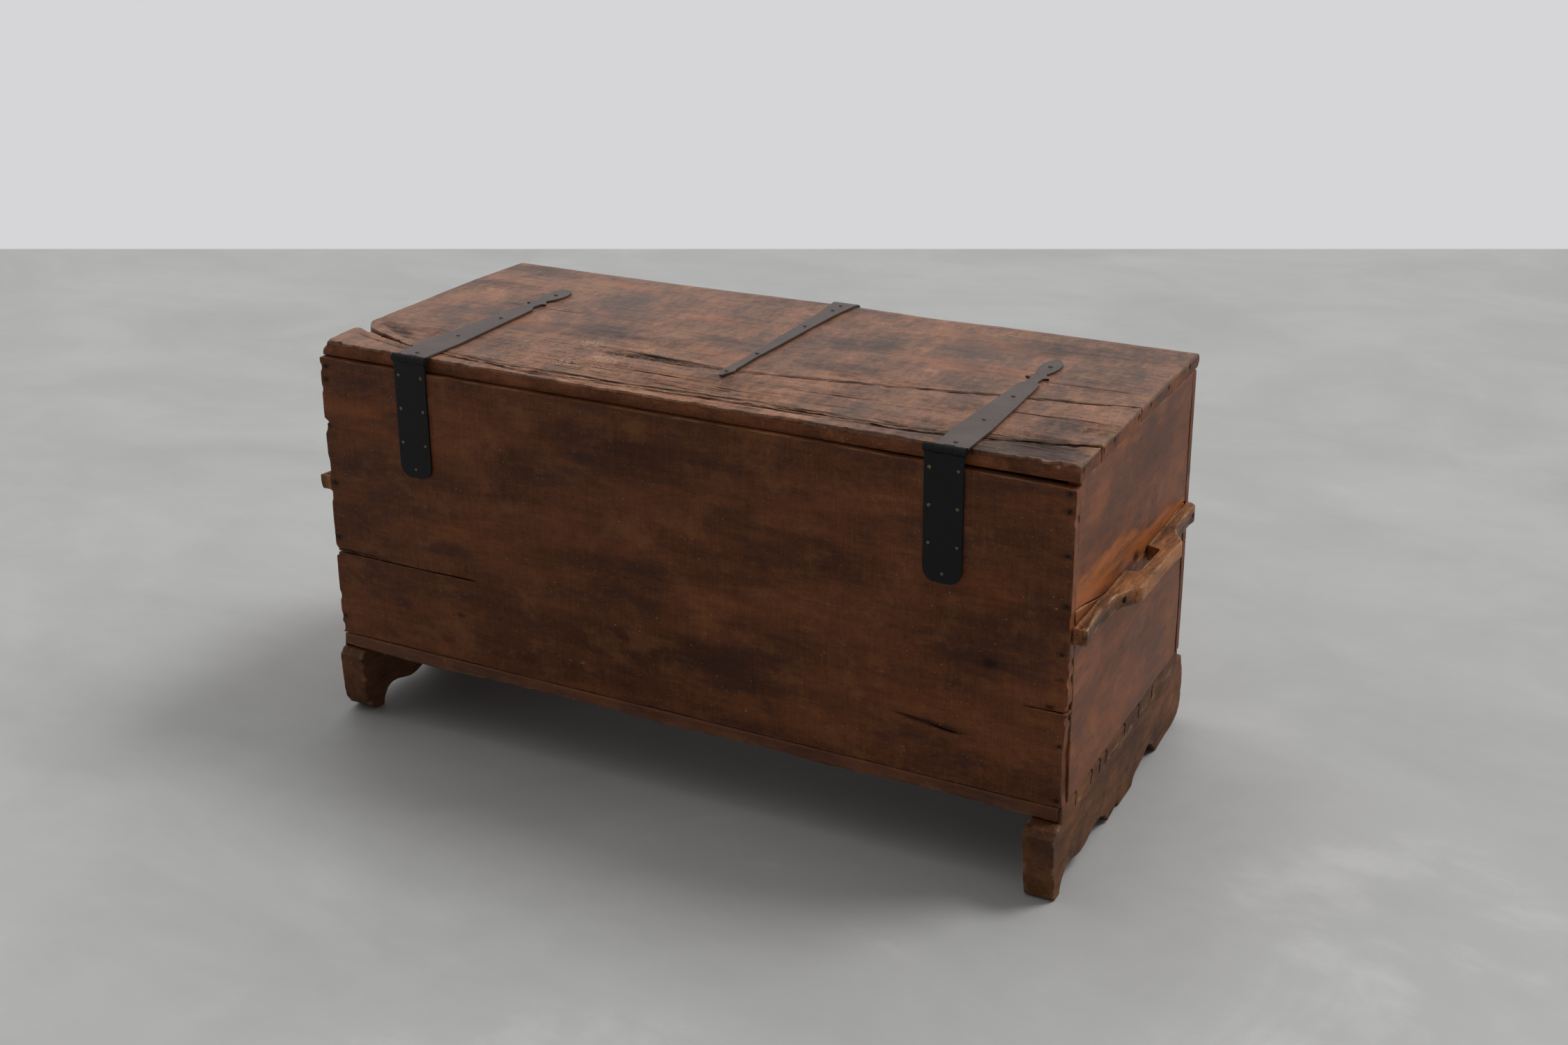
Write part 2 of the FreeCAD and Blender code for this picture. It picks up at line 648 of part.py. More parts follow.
def floor_nails():
    """Nails down through the bottom boards into the skids, two at each end of a board."""
    nails = []
    for sign in SIDES.values():
        for i in range(nails_per_end):
            y = back_y + body_depth * (i + 0.5) / nails_per_end
            foot = V(sign * (half_length - floor_nail_inset), y, floor_top)
            nails.append(domed_nail(foot, V(0, 0, 1), floor_nail, nail_head))
    return nails


def main():
    os.makedirs("parts", exist_ok=True)
    back = wall_boards(back_y, back_y + wall_thickness, back_joint)
    front = wall_boards(front_y, front_y - wall_thickness, front_joint)
    for name, pair in (("back_board", back), ("front_board", front)):
        export(name + "_lower", [pair[0]])
        export(name + "_upper", [pair[1]])
    for name, board in zip(("rear", "middle", "front"), bottom_boards()):
        export("bottom_board_" + name, [board])
    for name, board in zip(("rear", "middle", "front"), lid_boards()):
        export("lid_board_" + name, [board])
    for side in SIDES:
        lower, upper = end_boards(side)
        export(side + "_end_board_lower", [lower])
        export(side + "_end_board_upper", [upper])
        export(side + "_skid", [skid(side)])
        export(side + "_handle", [handle(side)])
        export(side + "_handle_bolts", handle_bolts(side))
        export(side + "_hinge_leaf", [hinge_leaf(side)])
        export(side + "_hinge_pin", [hinge_pin(side)])
        export(side + "_hinge_strap", [hinge_strap(side)])
        export(side + "_leaf_screws", leaf_screws(side))
        export(side + "_strap_nails", strap_nails(side))
        export("lid_batten_" + side, [batten(side)])
    export("hasp_strap", [hasp_strap()])
    export("hasp_strap_nails", hasp_strap_nails())
    export("hasp", [hasp_plate()])
    export("hasp_pin", [hasp_pin()])
    export("hasp_staple", [staple()])
    export("back_nails", wall_nails("back", back_y, -1))
    export("front_nails", wall_nails("front", front_y, 1))
    export("floor_nails", floor_nails())


main()
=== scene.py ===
"""Antique boarded blanket chest, laid out as an add-on and run as a script.

Every operator makes one piece of the chest, or one group of like pieces, round the CAD frame.
Sizes inside the makers are millimetres in the frame's own axes; meshes are written in metres.
"""
import math

import bmesh
import bpy
import numpy as np
from bpy.props import FloatProperty, FloatVectorProperty, PointerProperty
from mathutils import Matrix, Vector
from mathutils.geometry import delaunay_2d_cdt


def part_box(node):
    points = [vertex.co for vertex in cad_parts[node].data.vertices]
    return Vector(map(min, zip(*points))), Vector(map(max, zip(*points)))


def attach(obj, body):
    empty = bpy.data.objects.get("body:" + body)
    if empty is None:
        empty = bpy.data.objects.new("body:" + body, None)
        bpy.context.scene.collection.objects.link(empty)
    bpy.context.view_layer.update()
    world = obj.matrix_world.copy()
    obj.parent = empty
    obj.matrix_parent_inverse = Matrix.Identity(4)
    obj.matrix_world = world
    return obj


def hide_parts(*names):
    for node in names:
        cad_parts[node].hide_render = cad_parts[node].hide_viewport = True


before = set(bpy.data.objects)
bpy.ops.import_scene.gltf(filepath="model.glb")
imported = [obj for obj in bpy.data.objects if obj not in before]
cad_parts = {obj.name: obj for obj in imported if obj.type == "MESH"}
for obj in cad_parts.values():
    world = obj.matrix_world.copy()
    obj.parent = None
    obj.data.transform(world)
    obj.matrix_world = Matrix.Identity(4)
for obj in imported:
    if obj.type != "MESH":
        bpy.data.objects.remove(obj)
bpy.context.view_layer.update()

bl_info = {
    "name": "Blanket chest",
    "version": (1, 0, 0),
    "blender": (4, 5, 0),
    "location": "3D View > Sidebar > Chest",
    "description": "An old boarded blanket chest with strap hinges, made round its CAD frame",
    "category": "Object",
}

MM = 0.001          # metres in a millimetre


def edges_mm(node):
    """Lowest and highest corner of a CAD node in millimetres."""
    low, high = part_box(node)
    return np.array(low) / MM, np.array(high) / MM


BODY_LOW, BODY_HIGH = edges_mm("back_board_upper")
HALF = BODY_HIGH[0]
BACK = BODY_LOW[1]
WALL = BODY_HIGH[1] - BODY_LOW[1]
FRONT = edges_mm("front_board_upper")[1][1]
DEPTH = FRONT - BACK
FLOOR_TOP = edges_mm("bottom_board_rear")[1][2]
SKID_TOP = edges_mm("bottom_board_rear")[0][2]
LID_LOW, LID_TOP = (edges_mm("lid_board_front")[i][2] for i in (0, 1))
NOSE = edges_mm("lid_board_front")[1][1]
LID_BACK = edges_mm("lid_board_rear")[0][1]
END_THICK = edges_mm("right_end_board_lower")[1][0] - edges_mm("right_end_board_lower")[0][0]


# Smooth random fields -----------------------------------------------------------------------
MIX_U, MIX_V, MIX_SEED, MIX_ALL = 374761393, 668265263, 974711, 1274126177     # odd, to scramble places


def bumps(u, v, seed):
    """Smooth noise from -1 to 1 over a plane, about one bump per unit."""
    u, v = np.broadcast_arrays(np.asarray(u, float), np.asarray(v, float))
    iu, iv = np.floor(u).astype(np.int64), np.floor(v).astype(np.int64)
    fu, fv = u - iu, v - iv

    def corner(du, dv):
        with np.errstate(over="ignore"):
            mixed = (iu + du) * MIX_U + (iv + dv) * MIX_V + seed * MIX_SEED
            mixed = (mixed ^ (mixed >> 13)) * MIX_ALL
        mixed = mixed ^ (mixed >> 16)
        return (mixed & 0xFFFF) / 32767.5 - 1.0

    su, sv = fu * fu * (3 - 2 * fu), fv * fv * (3 - 2 * fv)
    low = corner(0, 0) * (1 - su) + corner(1, 0) * su
    high = corner(0, 1) * (1 - su) + corner(1, 1) * su
    return low * (1 - sv) + high * sv


def layered(u, v, seed, layers=4):
    """Noise of several sizes, each half as strong and twice as fine as the one before.

    The sum is stretched by half, so that it still swings from about -1 to 1.
    """
    total, weight = 0.0, 0.0
    for i in range(layers):
        share = 0.5 ** i
        total = total + share * bumps(u * 2 ** i, v * 2 ** i, seed + 17 * i)
        weight += share
    return total / weight * 1.5


def ramp(x, low, high):
    """0 below low, 1 above high, smooth between."""
    x = np.clip((x - low) / (high - low), 0, 1)
    return x * x * (3 - 2 * x)


def through(points):
    """A smooth function of x through (x, y) points, flat beyond both ends."""
    xs, ys = np.array(points, float).T
    slopes = np.gradient(ys, xs)

    def at(x):
        x = np.clip(x, xs[0], xs[-1])
        i = np.clip(np.searchsorted(xs, x) - 1, 0, len(xs) - 2)
        span = xs[i + 1] - xs[i]
        k = (x - xs[i]) / span
        a, b = 2 * k ** 3 - 3 * k ** 2 + 1, k ** 3 - 2 * k ** 2 + k
        c, d = -2 * k ** 3 + 3 * k ** 2, k ** 3 - k ** 2
        return a * ys[i] + b * span * slopes[i] + c * ys[i + 1] + d * span * slopes[i + 1]

    return at


def always(value):
    """A function that gives one value everywhere."""
    return lambda x: np.full(np.shape(x), float(value))


# What time does to a board ------------------------------------------------------------------
class Crack:
    """An open crack along the grain, as (s, t) points, with ragged lips."""

    def __init__(self, points, width=1.6, depth=5.0, pale=0.0, lift=0.0, fray=0.0, reach=9.0, seed=1):
        self.width, self.depth, self.pale, self.lift = width, depth, pale, lift
        self.frayed, self.reach, self.seed = fray, reach, seed
        self.start, self.stop = points[0][0], points[-1][0]
        self.line = through(points)

    def samples(self):
        """Places along the crack and its line there."""
        at = np.linspace(self.start, self.stop, 9)
        return at, self.line(at)

    def open_at(self, s):
        """How open the crack is along its run: 0 past its ends and about 1 between."""
        fade = 0.12 * (self.stop - self.start) + 8
        ends = ramp(s, self.start - 2, self.start + fade) * (1 - ramp(s, self.stop - fade, self.stop + 2))
        return ends * (0.75 + 0.5 * layered(s / 40, 0 * s, self.seed, 3))

    def off(self, s, t):
        """Distance across the grain from the crack's wandering middle."""
        return t - self.line(s) - 0.8 * layered(s / 14, 0 * s, self.seed + 5, 3)

    def sink(self, s, t):
        off, here = self.off(s, t), self.open_at(s)
        groove = self.depth * here * np.exp(-(off / self.width) ** 2)
        lip = self.lift * here * np.exp(-((off - 2.6 * self.width) / (3 * self.width)) ** 2)
        return groove - lip

    def grime(self, s, t):
        return self.open_at(s) * np.exp(-(self.off(s, t) / (1.5 * self.width)) ** 2)

    def fray(self, s, t):
        return self.frayed * self.open_at(s) * np.exp(-(self.off(s, t) / self.reach) ** 2)

    def wear(self, s, t):
        off = self.off(s, t)
        side = np.exp(-((off - 2.2 * self.width) / (1.6 * self.width)) ** 2)
        return self.pale * self.open_at(s) * side * ramp(layered(s / 30, t / 3, self.seed + 9), -0.5, 0.6)


class Patch:
    """A soft-edged oval on a board: sunk, stained, worn pale or dirty; a few stand for painted shade and
    painted sheen.
    """

    def __init__(self, s, t, half_s, half_t, tone=0.0, depth=0.0, wear=0.0, grime=0.0, warm=0.0,
                 fray=0.0, flakes=0.0, lean=0.0):
        self.place, self.half, self.lean = (s, t), (half_s, half_t), lean
        self.frayed, self.flakes = fray, flakes
        self.tone, self.depth, self.worn, self.dirt, self.warm = tone, depth, wear, grime, warm

    def cover(self, s, t):
        """1 well inside the patch, 0 outside, with a ragged edge between."""
        ds = s - self.place[0]
        dt = t - self.place[1] - self.lean * ds
        ragged = 0.22 * layered(s / 45, t / 14, int(abs(self.place[0]) + abs(self.place[1])), 3)
        reach = np.hypot(ds / self.half[0], dt / self.half[1]) + ragged
        return 1 - ramp(reach, 0.45, 1.1)

    def fray(self, s, t):
        return self.frayed * self.cover(s, t)


class Band(Patch):
    """A stain with a firm upper edge along a line of (s, t) points, that fades downwards."""

    def __init__(self, points, run, **kind):
        super().__init__(0, 0, 1, 1, **kind)
        self.line, self.run = through(points), run

    def cover(self, s, t):
        below = self.line(s) - t + 5 * layered(s / 30, t / 18, 5, 4)
        return ramp(below, -3, 3) * (1 - ramp(below, 0.6 * self.run, self.run))


# Boards -------------------------------------------------------------------------------------
EDGE_LINES = (0, 0.35, 0.85, 1.6, 2.6, 4.0, 5.8)         # lattice lines beside an arris, in mm
CRACK_LINES = (-3.2, -1.8, -0.9, 0, 0.9, 1.8, 3.2)       # lattice lines beside a crack, in mm


def stations(start, stop, step, extra=()):
    """Lattice lines from start to stop, close together at both arrises and at extra places."""
    edge = np.array(EDGE_LINES)
    inner = np.arange(start + edge[-1] + 0.5 * step, stop - edge[-1] - 0.4 * step, step)
    near = [place + side for place in extra for side in CRACK_LINES]
    near = [n for n in near if start + edge[-1] < n < stop - edge[-1]]
    lines = np.sort(np.concatenate([start + edge, stop - edge, inner, near]))
    kept = [lines[0]]
    for line in lines[1:]:
        if line - kept[-1] > 0.1 or line == lines[-1]:
            kept.append(line)
    return np.array(kept)


def lattice_skin(ns, nt, nw):
    """Numbers and faces of the skin of a lattice; the hidden back is one flat face."""
    skin = np.zeros((ns, nt, nw), bool)
    skin[[0, -1]] = skin[:, [0, -1]] = skin[:, :, [0, -1]] = True
    m = len(EDGE_LINES) - 1
    skin[m + 1:-m - 1, m + 1:-m - 1, 0] = False
    number = np.full(skin.shape, -1)
    number[skin] = np.arange(skin.sum())

    def quads(grid, flip):
        a, b, c, d = grid[:-1, :-1], grid[1:, :-1], grid[1:, 1:], grid[:-1, 1:]
        faces = np.stack([a, b, c, d], -1).reshape(-1, 4)
        faces = faces[(faces >= 0).all(1)]
        return faces[:, ::-1] if flip else faces

    back = number[:, :, 0]
    faces = [quads(number[:, :, -1], False), quads(number[-1], False), quads(number[0], True),
             quads(number[:, -1, :].T, False), quads(number[:, 0, :].T, True), quads(back, True)]
    i0, i1, j0, j1 = m, ns - 1 - m, m, nt - 1 - m
    ring = [*back[i0:i1, j0], *back[i1, j0:j1], *back[i1:i0:-1, j1], *back[i0, j1:j0:-1]]
    return skin, np.concatenate(faces), [int(n) for n in ring[::-1]]


def mesh_object(name, points, faces, fields, smooth_angle=50.0):
    """A mesh object at the origin from points in millimetres, with named point fields."""
    mesh = bpy.data.meshes.new(name)
    mesh.from_pydata((np.asarray(points) * MM).tolist(), [], faces)
    for label, values in fields.items():
        layer = mesh.attributes.new(label, "FLOAT", "POINT")
        layer.data.foreach_set("value", np.asarray(values, np.float32))
    mesh.shade_smooth()
    mesh.set_sharp_from_angle(angle=math.radians(smooth_angle))
    obj = bpy.data.objects.new(name, mesh)
    bpy.context.scene.collection.objects.link(obj)
    return obj


def settle(obj, body, slot, material, *nodes):
    """Give a finished piece its material and its body, and hide the CAD nodes it stands for. The slot is not
    used.
    """
    obj.data.materials.clear()
    obj.data.materials.append(material)
    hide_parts(*nodes)
    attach(obj, body)
    return obj


def repaint(obj, material, chosen):
    """Give the faces picked by their centres, in mm, and normals a material of their own."""
    mesh = obj.data
    centres, normals = np.empty(3 * len(mesh.polygons)), np.empty(3 * len(mesh.polygons))
    mesh.polygons.foreach_get("center", centres)
    mesh.polygons.foreach_get("normal", normals)
    picked = chosen(centres.reshape(-1, 3) / MM, normals.reshape(-1, 3))
    mesh.materials.append(material)
    mesh.polygons.foreach_set("material_index", picked.astype(np.int32))


AXES = {"x": 0, "y": 1, "z": 2}


class Blank:
    """A board before it is worn, as lattice points (s, t, w).

    s runs along the grain, t across it from the low side, and w from the hidden face out to the
    show face. share is t as a share of the width, and t_here is where t lies in the frame.
    """

    def __init__(self, s_range, sides, thick, step, cracks):
        self.lo, self.hi = (side if callable(side) else always(side) for side in sides)
        self.start, self.stop = s_range
        self.thick, self.middle = thick, (self.start + self.stop) / 2
        samples = np.linspace(self.start, self.stop, 9)
        self.width = float(np.mean(self.hi(samples) - self.lo(samples)))
        crack_places = [self.width * float(np.mean(self.share_of(*crack.samples())))
                        for crack in cracks]
        lines = [stations(self.start, self.stop, step[0]), stations(0, self.width, step[1], crack_places),
                 stations(0, thick, thick / 4)]
        skin, self.faces, self.ring = lattice_skin(*(len(line) for line in lines))
        self.s, t, self.w = np.stack(np.meshgrid(*lines, indexing="ij"), -1)[skin].T
        self.share = self.along_cracks(t / self.width, cracks, crack_places)
        self.t = self.share * self.width
        self.edge_s = np.minimum(self.s - self.start, self.stop - self.s)
        self.edge_t = np.minimum(self.t, self.width - self.t)
        self.t_here = self.spread(self.share)

    def share_of(self, s, line):
        """Where a crack's line lies, as a share of the board's width there."""
        return (line - self.lo(s)) / (self.hi(s) - self.lo(s))

    def spread(self, share):
        """The place across the grain, in the frame, of shares of the width."""
        return self.lo(self.s) + share * (self.hi(self.s) - self.lo(self.s))

    def along_cracks(self, share, cracks, crack_places):
        """Shares of the width, pulled over so that the lattice lines run along the cracks."""
        s = self.s
        for crack, place in zip(cracks, crack_places):
            want = self.share_of(s, crack.line(s))
            near = np.exp(-((share - place / self.width) / 0.12) ** 2)
            near = near * ramp(np.minimum(share, 1 - share), 0, 0.08)
            near = near * ramp(s, crack.start - 60, crack.start) * (1 - ramp(s, crack.stop, crack.stop + 60))
            share = share + (want - place / self.width) * near
        return share

    def in_side(self, half):
        """Which points lie in the low or the high half across the grain."""
        return self.t < self.width / 2 if half == "low" else self.t > self.width / 2

    def in_end(self, half):
        """Which points lie in the low or the high half along the grain."""
        return self.s < self.middle if half == "low" else self.s > self.middle

    def tight(self, snug):
        """1 in the closed joints, given as (half, start, stop), and 0 elsewhere."""
        tight = np.zeros(len(self.s))
        for half, start, stop in snug:
            closed = ramp(self.s, start - 15, start) * (1 - ramp(self.s, stop, stop + 15))
            closed = self.in_side(half) * (closed * ramp(self.edge_s, 1, 6))
            tight = np.maximum(tight, closed * (1 - ramp(self.edge_t, 6, 12)))
        return tight

    def rounding(self, arris, ragged, chips, end_chips, tight, seed):
        """The radius of the arris at each point: rubbed unevenly, chipped, and sharp where tight."""
        s, t = self.s, self.t
        wear_line = 1 + ragged * layered(s / 17, 0 * s + 3, seed, 4)
        wear_line = wear_line + 0.7 * ragged * layered(t / 16, s / 400, seed + 3, 3)
        rounding = np.clip(arris * wear_line, 0.4, 4 * arris)
        for centre, reach, size, half in chips:
            here = np.exp(-((s - centre) / reach) ** 2) * ramp(layered(s / 11, 0 * s, seed + 7, 3), -0.3, 0.4)
            rounding = rounding + self.in_side(half) * 0.2 * size * here
        for centre, reach, size, half in end_chips:
            here = np.exp(-((t + self.lo(s) - centre) / reach) ** 2) * (1 - ramp(self.edge_s, 3, 16))
            rounding = rounding + self.in_end(half) * size * here
        rounding = np.where(self.w > self.thick / 2, rounding, np.clip(rounding, 0.4, arris))
        rounding = np.minimum(rounding, 0.3 * self.thick)
        return rounding * (1 - tight) + 0.06 * tight

    def eased(self, rounding):
        """The points with the arrises rounded, at each point by a radius of its own."""
        points = np.stack([self.s, self.t, self.w], -1)
        low, high = np.array([self.start, 0, 0]), np.array([self.stop, self.width, self.thick])
        inner = np.clip(points, low + rounding[:, None], high - rounding[:, None])
        away = points - inner
        reach = np.linalg.norm(away, axis=1, keepdims=True)
        turned = inner + away * (rounding[:, None] / np.maximum(reach, 1e-6))
        return np.where(reach > 1e-6, turned, points)

    def waves(self, hand_edges, jags, bites, tight, seed):
        """How far the ends and the sides wander inwards, as moves of s and of t."""
        s, t, w, thick = self.s, self.t, self.w, self.thick
        side = hand_edges * (1 + layered(s / 90, self.share * 3, seed + 11, 4))
        side = side * ramp(w, -0.1 * thick, 0.5 * thick)
        coarse = ramp(layered(s / 24, w / 40, seed + 43, 4), 0.0, 0.5)
        fine = ramp(layered(s / 7, w / 20, seed + 47, 2), 0.1, 0.6)
        jag = np.where(t < self.width / 2, jags[0], jags[1]) * (coarse + 0.5 * fine)
        side = side + jag * ramp(w, 0.45 * thick, 0.85 * thick)
        side = side * (1 - tight) - 0.12 * tight
        end = hand_edges * 0.7 * (1 + layered(t / 40, w / 9, seed + 13, 4))
        for centre, size, half_width, half in bites:
            bite = size * (1 - ramp(np.abs(t + self.lo(s) - centre), 0.3 * half_width, half_width))
            end = end + self.in_end(half) * bite
        return (np.where(s < self.middle, end, -end) * (1 - ramp(self.edge_s, 0, 10)),
                np.where(t < self.width / 2, side, -side) * (1 - ramp(self.edge_t, 0, 12)))

    def worn(self, cracks, patches, end_holes, wave, fibre, edge_wear, rounding, tight, seed, face):
        """How deep the show face is worn at each point, and its fields for the material."""
        s, t, w, thick = self.s, self.t_here, self.w, self.thick
        fray = np.zeros(len(s))
        for flaw in (*cracks, *patches):
            fray = fray + flaw.fray(s, t)
        fray = np.clip(fray, 0, 1)
        sink = wave * (0.8 + layered(s / 240, t / 75, face + 19, 3))
        grain = 0.9 + layered(s / 60, t / 4.6, face + 23, 3)
        sink = sink + fibre * (1 + 3.5 * fray) * grain + 0.8 * fray
        side_rub = np.exp(-((self.edge_t + thick - w) / (1.3 * rounding)) ** 2)
        side_rub = edge_wear * (1 - tight) * side_rub
        end_rub = 0.7 * edge_wear * np.exp(-((self.edge_s + thick - w) / (1.3 * rounding)) ** 2)
        wear = side_rub * ramp(layered(s / 26, t / 5, seed + 29, 3), -0.2, 0.7)
        wear = wear + end_rub * ramp(layered(t / 20, w / 6, seed + 31, 3), -0.2, 0.7)
        grime, tone, warm, flakes, holes = (np.zeros(len(s)) for _ in range(5))
        for crack in cracks:
            sink = sink + crack.sink(s, t)
            grime = grime + crack.grime(s, t)
            wear = wear + crack.wear(s, t)
        pits = np.clip(0.5 + 0.9 * layered(s / 9, t / 4, face + 37, 3), 0, 2)
        specks = ramp(layered(s / 7, t / 4.5, face + 41, 2), 0.55, 0.9)
        for patch in patches:
            cover = patch.cover(s, t)
            sink = sink + patch.depth * cover * pits
            tone = tone + patch.tone * cover
            warm = warm + patch.warm * cover
            flakes = flakes + patch.flakes * cover
            wear = wear + patch.worn * cover * specks
            grime = grime + patch.dirt * cover
        for place in end_holes:
            spot = ((t - place) / 3.4) ** 2 + ((w - 0.55 * thick) / 3.6) ** 2
            holes = holes + 1.8 * np.exp(-spot) * (self.stop - s < 1.0)
        show = ramp(w, thick * 0.4, thick)
        fields = {"grime": np.clip(grime * show + holes, 0, 1.5), "wear": np.clip(wear * show, 0, 1.2),
                  "tone": tone * show, "warm": warm * show, "fray": fray * show, "flakes": flakes * show}
        return np.clip(sink, 0, thick * 0.8) * show, fields


def plank(name, body, slot, material, along, across, through_axis, s_range, sides, w_range, seed,
          arris=3.0, step=(6.0, 3.2), cracks=(), patches=(), ragged=0.5, wave=0.5, fibre=0.2,
          edge_wear=0.6, chips=(), end_chips=(), bites=(), jags=(0, 0), hand_edges=0.4, drop=None,
          nose=None, snug=(), face=None, end_holes=()):
    """One board: s along the grain, t across it, w out to its show face.

    sides holds the low and the high edge, each as t or as a function of s. chips and end_chips
    list (centre, reach, size, half) of broken arrises, and bites list (centre, size, half width,
    half) of what is gone from the ends. jags are the ragged depths of both sides, hand_edges is
    how far they wander, and snug lists (half, start, stop) of joints that stay closed. drop is a
    hollow over s, nose reshapes the high side, and end_holes lists t of dark nail holes in the
    end at the high s. Boards with the same face number share one worn surface.
    """
    face = seed if face is None else face
    blank = Blank(s_range, sides, abs(w_range[1] - w_range[0]), step, cracks)
    tight = blank.tight(snug)
    rounding = blank.rounding(arris, ragged, chips, end_chips, tight, seed)
    end_wave, side_wave = blank.waves(hand_edges, jags, bites, tight, seed)
    sink, fields = blank.worn(cracks, patches, end_holes, wave, fibre, edge_wear, rounding, tight, seed, face)
    flat = blank.eased(rounding)
    flat[:, 0] += end_wave
    flat[:, 1] += side_wave
    flat[:, 2] -= sink
    if drop is not None:
        flat[:, 2] -= drop(blank.s) * ramp(blank.w, 0, blank.thick)
    if nose is not None:
        flat = nose(flat, blank.width, blank.thick)
    out = 1.0 if w_range[1] > w_range[0] else -1.0
    world, axes = np.empty((len(flat), 3)), np.zeros((3, 3))
    places = ((along, flat[:, 0], 1), (across, blank.spread(flat[:, 1] / blank.width), 1),
              (through_axis, w_range[0] + out * flat[:, 2], out))
    for row, (axis, values, sign) in enumerate(places):
        world[:, AXES[axis]] = values
        axes[row, AXES[axis]] = sign
    faces, ring = blank.faces, blank.ring
    if np.linalg.det(axes) < 0:
        faces, ring = faces[:, ::-1], ring[::-1]
    obj = mesh_object(name, world, faces.tolist() + [ring], fields)
    return settle(obj, body, slot, material, name)


# Sawn shapes: an outline with a rounded arris -------------------------------------------------
def resample(points, step):
    """Points at an even step round a closed outline; corners of the outline are kept."""
    dense = []
    for a, b in zip(points, points[1:] + points[:1]):
        a, b = np.array(a, float), np.array(b, float)
        pieces = max(1, int(round(np.linalg.norm(b - a) / step)))
        dense += [a + (b - a) * k / pieces for k in range(pieces)]
    return np.array(dense)


def double_area(ring):
    """Twice the area of a closed outline: positive where it runs anticlockwise."""
    return np.sum(ring[:, 0] * np.roll(ring[:, 1], -1) - np.roll(ring[:, 0], -1) * ring[:, 1])


def inward(ring):
    """Unit vectors into a closed outline that runs anticlockwise."""
    ahead = np.roll(ring, -1, 0) - np.roll(ring, 1, 0)
    ahead /= np.linalg.norm(ahead, axis=1, keepdims=True)
    return np.stack([-ahead[:, 1], ahead[:, 0]], -1)


def inside(ring, points):
    """Which points lie inside a closed outline."""
    hit = np.zeros(len(points), bool)
    for a, b in zip(ring, np.roll(ring, -1, 0)):
        cross = (a[1] > points[:, 1]) != (b[1] > points[:, 1])
        at = (b[0] - a[0]) * (points[:, 1] - a[1]) / (b[1] - a[1] + 1e-12) + a[0]
        hit ^= cross & (points[:, 0] < at)
    return hit


def nearest(ring, points):
    """Distance from each point to the nearest outline point."""
    best = np.full(len(points), 1e9)
    for corner in ring:
        best = np.minimum(best, np.hypot(*(points - corner).T))
    return best


def inward_all(ring, points):
    """For each point, the inward direction at the nearest outline point."""
    ways = inward(ring)
    best, pick = np.full(len(points), 1e9), np.zeros(len(points), int)
    for i, corner in enumerate(ring):
        away = np.hypot(*(points - corner).T)
        closer = away < best
        best[closer], pick[closer] = away[closer], i
    return ways[pick] * (1 if double_area(ring) > 0 else -1)


def flat_side(depth, thick, reach):
    """1 on the first flat side of a sawn shape, -1 on the second, 0 further in than reach."""
    half = thick / 2
    return np.where(depth < half, 1, -1) * ramp(np.abs(depth - half), half - reach, half)


def filling(rim, step, seed, extra):
    """Points that fill the inside of a rim a little unevenly, with the extra ones among them."""
    low, high = rim.min(0), rim.max(0)
    a, b = np.meshgrid(np.arange(low[0], high[0], step), np.arange(low[1], high[1], step))
    fill = np.stack([a.ravel(), b.ravel()], -1)
    fill = fill + 0.25 * step * np.stack([bumps(fill[:, 0] * 3.3, fill[:, 1] * 3.7, seed + 1),
                                          bumps(fill[:, 0] * 3.1, fill[:, 1] * 3.9, seed + 2)], -1)
    if len(extra):
        marks = np.array(extra, float)
        fill = fill[nearest(marks, fill) > 0.5 * step]
        fill = np.concatenate([fill, marks])
    fill = fill[inside(rim, fill)]
    return fill[nearest(rim, fill) > 0.35 * step]


ARRIS_TURNS = np.radians([0, 20, 42, 66, 90])        # where a rounded arris has its lines


